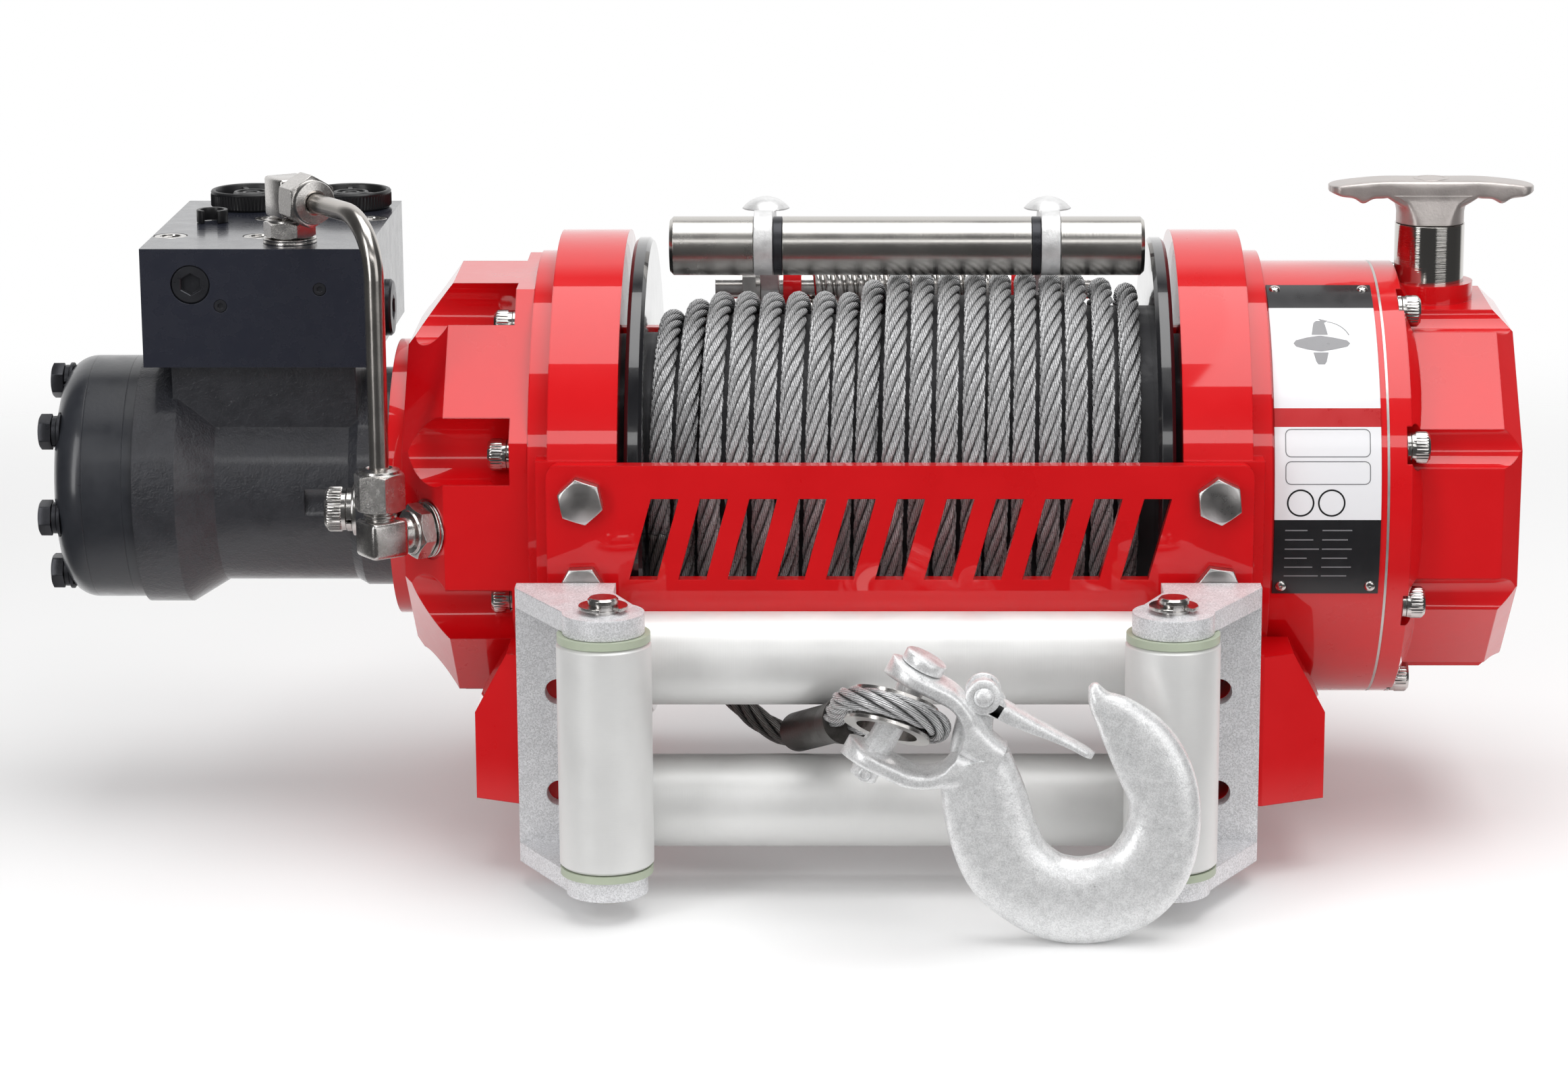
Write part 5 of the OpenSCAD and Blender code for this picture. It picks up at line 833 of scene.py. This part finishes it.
PLATE_R, PLATE_LEFT, PLATE_RIGHT = 91.85, 150.5, 193.5
PLATE_LOW, PLATE_HIGH = -19.0, 71.0
PER_DEGREE = PLATE_R * pi / 180
MARK_LIFT = 0.05
WHITE, BLACK, GREY, PLATE_RED, RIVET = range(5)
BANDS = ((71, BLACK), (60.5, WHITE), (29.5, PLATE_RED), (24.6, WHITE), (1.1, BLACK))


def wrapped(x, turn, lift=0.0):
    r = PLATE_R + lift
    return (x, -r * cos(radians(turn)), AXIS_Z + r * sin(radians(turn)))


def mark(outline):
    """A filled grey shape between left and right edges at each height, as (angle, left, right)."""
    rows = []
    for (a0, l0, r0), (a1, l1, r1) in zip(outline, outline[1:]):
        steps = max(1, round(abs(a1 - a0) / 0.8))
        rows += [(a0 + (a1 - a0) * k / steps, l0 + (l1 - l0) * k / steps, r0 + (r1 - r0) * k / steps)
                 for k in range(steps)]
    rows.append(outline[-1])
    verts = [wrapped(x, a, MARK_LIFT) for a, l, r in rows for x in (l, r)]
    plate.put(verts, [(2 * i, 2 * i + 1, 2 * i + 3, 2 * i + 2) for i in range(len(rows) - 1)], mat=GREY)


def loop(points, width, mat, closed=True):
    """A line of a given width through points of (x, arc length)."""
    n = len(points)
    verts = []
    for i, (x, arc) in enumerate(points):
        a = points[(i - 1) % n if closed else max(0, i - 1)]
        b = points[(i + 1) % n if closed else min(n - 1, i + 1)]
        way = Vector((b[0] - a[0], b[1] - a[1])).normalized()
        for s in (-0.5, 0.5):
            turn = degrees((arc + way.x * width * s) / PLATE_R)
            verts.append(wrapped(x - way.y * width * s, turn, MARK_LIFT))
    faces = []
    for i in range(n if closed else n - 1):
        j = (i + 1) % n
        faces.append((2 * i, 2 * i + 1, 2 * j + 1, 2 * j))
    plate.put(verts, faces, mat=mat)


def rounded(x0, x1, s0, s1, r):
    """A rectangle with round corners, with points close enough to follow the housing."""
    out = []
    corners = ((x1 - r, s1 - r, 0), (x0 + r, s1 - r, 90), (x0 + r, s0 + r, 180), (x1 - r, s0 + r, 270))
    for cx, cs, first in corners:
        corner = [radians(first + 90 * k / 5) for k in range(6)]
        out += [(cx + r * cos(a), cs + r * sin(a)) for a in corner]
    dense = []
    for p, q in zip(out, out[1:] + out[:1]):
        steps = max(1, round(abs(q[1] - p[1]) / 1.2))
        dense += [(p[0] + (q[0] - p[0]) * k / steps, p[1] + (q[1] - p[1]) * k / steps) for k in range(steps)]
    return dense


plate = Piece()
edges = sorted({round(PLATE_LOW + k * 1.25, 3) for k in range(73)} | {start for start, _ in BANDS})
SECTION = ((PLATE_LEFT, -0.7), (PLATE_LEFT, -0.15), (PLATE_LEFT + 0.15, 0), (PLATE_RIGHT - 0.15, 0),
           (PLATE_RIGHT, -0.15), (PLATE_RIGHT, -0.7))
for band, (start, mat) in enumerate(BANDS):
    stop = BANDS[band + 1][0] if band < len(BANDS) - 1 else PLATE_LOW
    row = [a for a in edges if stop - 1e-6 <= a <= start + 1e-6]
    plate.loft([[wrapped(x, a, lift) for x, lift in SECTION] for a in row], mat=mat)

# A plain ornament, then two boxes, two rings, rows of lines and four rivets
mark([(55.6, 169.5, 171.5), (55.0, 168.4, 172.6), (54, 168.0, 173.0), (50.8, 167.2, 173.8)])
mark([(50.5, 170, 171), (49.9, 165, 176), (49.0, 160.6, 181.4), (48.0, 159.6, 182.6), (47.0, 160.6, 181.4),
      (46.1, 165, 176), (45.5, 170, 171)])
mark([(45.2, 167.4, 173.6), (42.4, 168.4, 172.6), (41.6, 169.2, 171.8)])
sweep = [radians(a) for a in range(20, 86, 6)]
loop([(172 + 11 * cos(a), 48.2 * PER_DEGREE + 11.5 * sin(a)) for a in sweep], 0.45, GREY,
     closed=False)
mark([(56.4, 170.2, 170.3), (55.6, 171.2, 174.2), (54.9, 172.6, 172.7)])
for start, stop in ((17.0, 24.0), (10.1, 15.8)):
    loop(rounded(155, 189, start * PER_DEGREE, stop * PER_DEGREE, 2.2), 0.4, GREY)
for x in (161, 173.5):
    loop([(x + 5.2 * cos(a), 5.4 * PER_DEGREE + 5.2 * sin(a)) for a in angles(40)], 0.7, BLACK)
for k in range(6):
    turn = -1.6 - 2.45 * k
    for left, right in ((155, 164 + 2.4 * (k % 3)), (170, 182 - 1.7 * (k % 2))):
        mark([(turn + 0.16, left, right), (turn - 0.16, left, right)])
RIVET_HEAD = [(2.3, -0.3), (2.3, 0.25), (2.0, 0.7), (1.2, 1.05), (0.6, 1.1), (0.45, 0.7), (0.02, 0.6)]
for x in (154, 190):
    for turn in (PLATE_LOW + 2.2, PLATE_HIGH - 2.2):
        way = Vector((0, -cos(radians(turn)), sin(radians(turn))))
        plate.turned(RIVET_HEAD, seg=28, mat=RIVET, at=facing(wrapped(x, turn), way))
plate.done("data_plate_bands", [plate_white, plate_black, plate_grey, plate_red, zinc_bright],
           ["data_plate"], smooth=40)


# Clevis hook, with its origin at its pin

def oval(centre, one, two, a, b, power):
    """A superellipse ring round a centre."""
    power = 2 / power
    return [tuple(centre + one * a * bulged(cos(t), power) + two * b * bulged(sin(t), power))
            for t in angles(32, 0.5)]


def eased(t):
    t = max(0.0, min(1.0, t))
    return t * t * (3 - 2 * t)


HOOK_SIZE = 116
# X, Z, half width and half thickness along the bowl, as shares of the hook's size
BOWL_SHARES = [[0.262, -0.138, 0.120, 0.070], [0.293, -0.267, 0.140, 0.070], [0.327, -0.397, 0.147, 0.072],
               [0.378, -0.511, 0.147, 0.075], [0.462, -0.585, 0.144, 0.078], [0.537, -0.619, 0.146, 0.080],
               [0.623, -0.630, 0.147, 0.081], [0.716, -0.612, 0.147, 0.080], [0.806, -0.559, 0.142, 0.077],
               [0.862, -0.476, 0.134, 0.073], [0.891, -0.371, 0.122, 0.069], [0.887, -0.263, 0.118, 0.065],
               [0.850, -0.166, 0.120, 0.060], [0.797, -0.079, 0.108, 0.054], [0.731, 0.000, 0.078, 0.046],
               [0.678, 0.054, 0.044, 0.036], [0.652, 0.108, 0.017, 0.020]]
X_AXIS, Y_AXIS, Z_AXIS = Vector((1, 0, 0)), Vector((0, 1, 0)), Vector((0, 0, 1))
LATCH_AT, LATCH_TURN = Vector((33.872, 0, 9.164)), radians(30.3)
EAR_R, EAR_GAP, EAR_END = 12, 14.0, 43
# Place and half length of the latch boss's sections
BOSS = ((-5, -22, 8), (-4, -14, 7.5), (-3, -8, 7), (-1.5, -3, 6.6), (0, 0, 6.2), (0, 3.5, 5.0), (0, 5.2, 3.0),
        (0, 5.9, 0.6))
CLEVIS_PIN = [(0.05, -27), (4.8, -27), (5.5, -26.3), (5.5, 22.2), (8.2, 22.25), (8.5, 22.7), (8.5, 26.2),
              (7.9, 26.9), (0.05, 27.0)]
PIN_RIVET = [(2.9, -1), (2.9, 1.0), (2.4, 1.5), (1.9, 1.5), (1.5, 0.8), (0.02, 0.7)]

hook = Piece()
bowl = spline([[share * HOOK_SIZE for share in row] for row in BOWL_SHARES], 6)
rings = []
for i, (x, z, wide, thick) in enumerate(bowl):
    a, b = bowl[max(0, i - 1)], bowl[min(len(bowl) - 1, i + 1)]
    way = Vector((b[0] - a[0], 0, b[1] - a[1])).normalized()
    inward = Vector((way.z, 0, -way.x))
    ring = []
    for p in oval(Vector((0, 0, 0)), inward, Y_AXIS, wide, thick, 2.7):
        v = Vector(p)
        v.y *= 1.06 - 0.16 * (v.dot(inward) / wide) ** 2 if v.dot(inward) < 0 else 1.06
        ring.append(tuple(Vector((x, 0, z)) + v))
    rings.append(ring)
tip = Vector((bowl[-1][0], 0, bowl[-1][1])) + Vector((-0.2, 0, 1.2))
rings.append([tuple(tip + (Vector(p) - tip) * 0.4) for p in rings[-1]])
hook.loft(rings)

# The clevis' two ears, round at the pin and joined behind the thimble
tilted = spun(HOOK_TILT, "Y")
for side in (1, -1):
    rings = []
    for x in list(np.linspace(-11.9, 26, 34)) + list(np.linspace(27.6, EAR_END, 12)):
        wide = sqrt(max(0.3, EAR_R ** 2 - x * x)) if x < 0 else EAR_R - 4 * x / 42
        inner = EAR_GAP if x < 13.5 else sqrt(max(0, EAR_GAP ** 2 - (x - 13.5) ** 2))
        inner = inner if x < 27.5 else -1.0
        outer = 22 - 11 * eased((x - 12) / 31) - (0.25 * (-x / 12) ** 3 if x < 0 else 0)
        inner = min(inner, outer - 4)
        middle = Vector((x, 0, side * (inner + outer) / 2))
        rings.append(oval(middle, Y_AXIS, Z_AXIS, wide, (outer - inner) / 2, 3.2))
    hook.loft(rings, at=tilted)
hook.loft([oval(LATCH_AT + Vector((x, 0, z)), X_AXIS, Y_AXIS, half, 4.0, 4) for x, z, half in BOSS])
hook.turned(CLEVIS_PIN, at=tilted)
for side in (-1, 1):
    hook.turned(PIN_RIVET, seg=32, at=tilted @ facing((0, side * 4.4, -24.4), (0, side, 0)))
hook.bm.transform(moved(*HOOK_PIN.tolist()))
hook.done("hook_forging", [hook_zinc], ["hook"], "clevis_hook", smooth=50)


# Latch: a folded lid that narrows to a round end, between two round cheeks

LID_START, LID_LENGTH, LID_HALF, LID_TOP, LID_WALL = 3.2, 45.4, 6.2, 1.3, 1.5
CHEEK = [(0.05, 0), (6.6, 0), (6.9, 0.4), (6.9, 1.5), (6.4, 2.0), (4.0, 2.0), (3.9, 1.7), (3.6, 2.6),
         (2.4, 3.4), (0.05, 3.7)]
WEB = [(0, -6.4), (9, -4.6), (9, 1.9), (0, 6.4)]

latch = Piece()
lid = moved(*HOOK_PIN.tolist()) @ moved(*LATCH_AT) @ spun(LATCH_TURN, "Y")
rings = []
for i in range(40):
    x = LID_START + LID_LENGTH * i / 39
    wide = LID_HALF - 1.6 * eased((x - 12) / 30)
    if x > 44:
        wide *= max(0.05, 1 - ((x - 44) / 4.8) ** 2) ** 0.5
    lip = 3.4 * (1 - eased((x - 8) / 34)) + 1.2
    inside = wide - LID_WALL * wide / LID_HALF
    half = [(wide - 0.7, LID_TOP), (wide, LID_TOP - 0.7), (wide, -lip), (inside, -lip),
            (inside, LID_TOP - 1.6)]
    mirrored = [(-y, z) for y, z in reversed(half)]
    outer, inner = mirrored[2:] + [(0, LID_TOP + 0.4)] + half, [(0, LID_TOP - 1.3)] + mirrored[:2]
    rings.append([(x, y, z) for y, z in outer + inner])
latch.loft(rings, at=lid, bevel=0.25, steps=1, angle=60)
for side in (-1, 1):
    latch.turned(CHEEK, seg=44, at=lid @ facing((0, side * 4.3, 0), (0, side, 0)))
    latch.prism(WEB, 0, 1.9, bevel=0.3, steps=1, at=lid @ moved(0, side * 5.25 + 0.95, 0) @ spun(pi / 2, "X"))
latch.done("hook_latch_plate", [hook_zinc], ["hook_latch"], "latch", smooth=50)


# Floor, backdrop and light, in metres

FLOOR_SIZE, FLOOR_DROP, FLOOR_COLOUR, FLOOR_GLOW = 6, 0.0005, (0.80, 0.80, 0.80), 0.12
SEEN_FADE, MIRRORED_FADE = (0.5, 1.1), (0.18, 0.28)
WHITE_LIGHT = (1, 1, 1, 1)
FADE_STRETCH = (0.6, 1, 1)
LAMPS = (("overhead_left", (-0.15, -0.15, 1.7), (-0.15, -0.15, 0), (0.80, 1.30), 3.0),
         ("overhead_right", (0.60, -0.36, 1.7), (0.60, -0.36, 0), (0.70, 1.72), 3.4),
         ("front", (0.1, -2.1, 1.3), (0, 0, 0.1), (1.5, 0.25), 3),
         ("left", (-1.15, -1.35, 0.7), (0, 0, 0.1), (0.45, 1.6), 4),
         ("right", (1.2, -1.5, 0.6), (0, 0, 0.1), (1.2, 1.4), 1.2))


def faded(tree, away, fade):
    """Goes from 0 to 1 between two distances."""
    limits = {"From Min": fade[0], "From Max": fade[1]}
    made = add(tree, "ShaderNodeMapRange", Value=away, interpolation_type="SMOOTHSTEP", **limits)
    return made.outputs["Result"]


def floor_material():
    """A floor that fades into the white backdrop and glows a little where it is seen. Reflections see less
    of it than the camera does."""
    material = bpy.data.materials.new("floor")
    tree, shader = node_tree(material)
    path = add(tree, "ShaderNodeLightPath").outputs
    seen = add(tree, "ShaderNodeMath", path["Is Camera Ray"], path["Is Glossy Ray"], operation="MAXIMUM")
    shine = add(tree, "ShaderNodeMath", seen.outputs[0], FLOOR_GLOW, operation="MULTIPLY")
    away = add(tree, "ShaderNodeVectorMath", coords(tree, FADE_STRETCH), operation="LENGTH").outputs["Value"]
    fade = add(tree, "ShaderNodeMix", data_type="FLOAT", Factor=path["Is Glossy Ray"],
               A=faded(tree, away, SEEN_FADE), B=faded(tree, away, MIRRORED_FADE))
    give(tree, shader, {"Base Color": (*FLOOR_COLOUR, 1), "Roughness": 0.7, "Specular IOR Level": 0.2,
                        "Emission Color": WHITE_LIGHT, "Emission Strength": shine.outputs[0]})
    clear = add(tree, "ShaderNodeBsdfTransparent").outputs[0]
    both = add(tree, "ShaderNodeMixShader", fade.outputs["Result"], shader.outputs[0], clear)
    give(tree, tree.nodes["Material Output"], {"Surface": both.outputs[0]})
    return material


def world_light():
    """White for the camera, dim round the front for reflections, and a soft fill from above for the rest."""
    world = bpy.data.worlds.new("world")
    SCENE.world = world
    world.use_nodes = True
    sky = world.node_tree
    path = add(sky, "ShaderNodeLightPath").outputs
    heading = add(sky, "ShaderNodeTexCoord").outputs["Generated"]
    split = add(sky, "ShaderNodeSeparateXYZ", heading).outputs
    behind = ramp(sky, split["Y"], [(0.0, 0.06), (0.45, 0.08), (0.62, 1.0), (1.0, 1.0)])
    fill = ramp(sky, split["Z"], [(0.0, 0.10), (0.1, 0.50)])
    metal = add(sky, "ShaderNodeMix", data_type="FLOAT", Factor=path["Is Glossy Ray"], A=fill, B=behind)
    shown = add(sky, "ShaderNodeMath", path["Is Camera Ray"], path["Is Transmission Ray"],
                operation="MAXIMUM")
    level = add(sky, "ShaderNodeMix", data_type="FLOAT", Factor=shown.outputs[0],
                A=metal.outputs["Result"], B=1.0)
    give(sky, sky.nodes["Background"], {"Color": WHITE_LIGHT, "Strength": level.outputs["Result"]})


def lamp(name, at, towards, size, radiance):
    """A soft area lamp by its radiance, where 1 shows as white in a mirror."""
    data = bpy.data.lights.new(name, "AREA")
    data.shape = "RECTANGLE"
    data.size, data.size_y = size
    data.energy = radiance * pi * size[0] * size[1]
    made = bpy.data.objects.new(name, data)
    SCENE.collection.objects.link(made)
    made.location = at
    made.rotation_euler = (Vector(towards) - Vector(at)).to_track_quat("-Z", "Y").to_euler()
    made.visible_camera = False


half, floor_z = FLOOR_SIZE / 2, CAD_BOX[0].z - FLOOR_DROP
floor_mesh = bpy.data.meshes.new("floor")
floor_mesh.from_pydata([(x * half, y * half, floor_z) for x, y in ((-1, -1), (1, -1), (1, 1), (-1, 1))], [],
                       [(0, 1, 2, 3)])
floor_mesh.materials.append(floor_material())
floor = bpy.data.objects.new("floor", floor_mesh)
SCENE.collection.objects.link(floor)
world_light()
for settings in LAMPS:
    lamp(*settings)
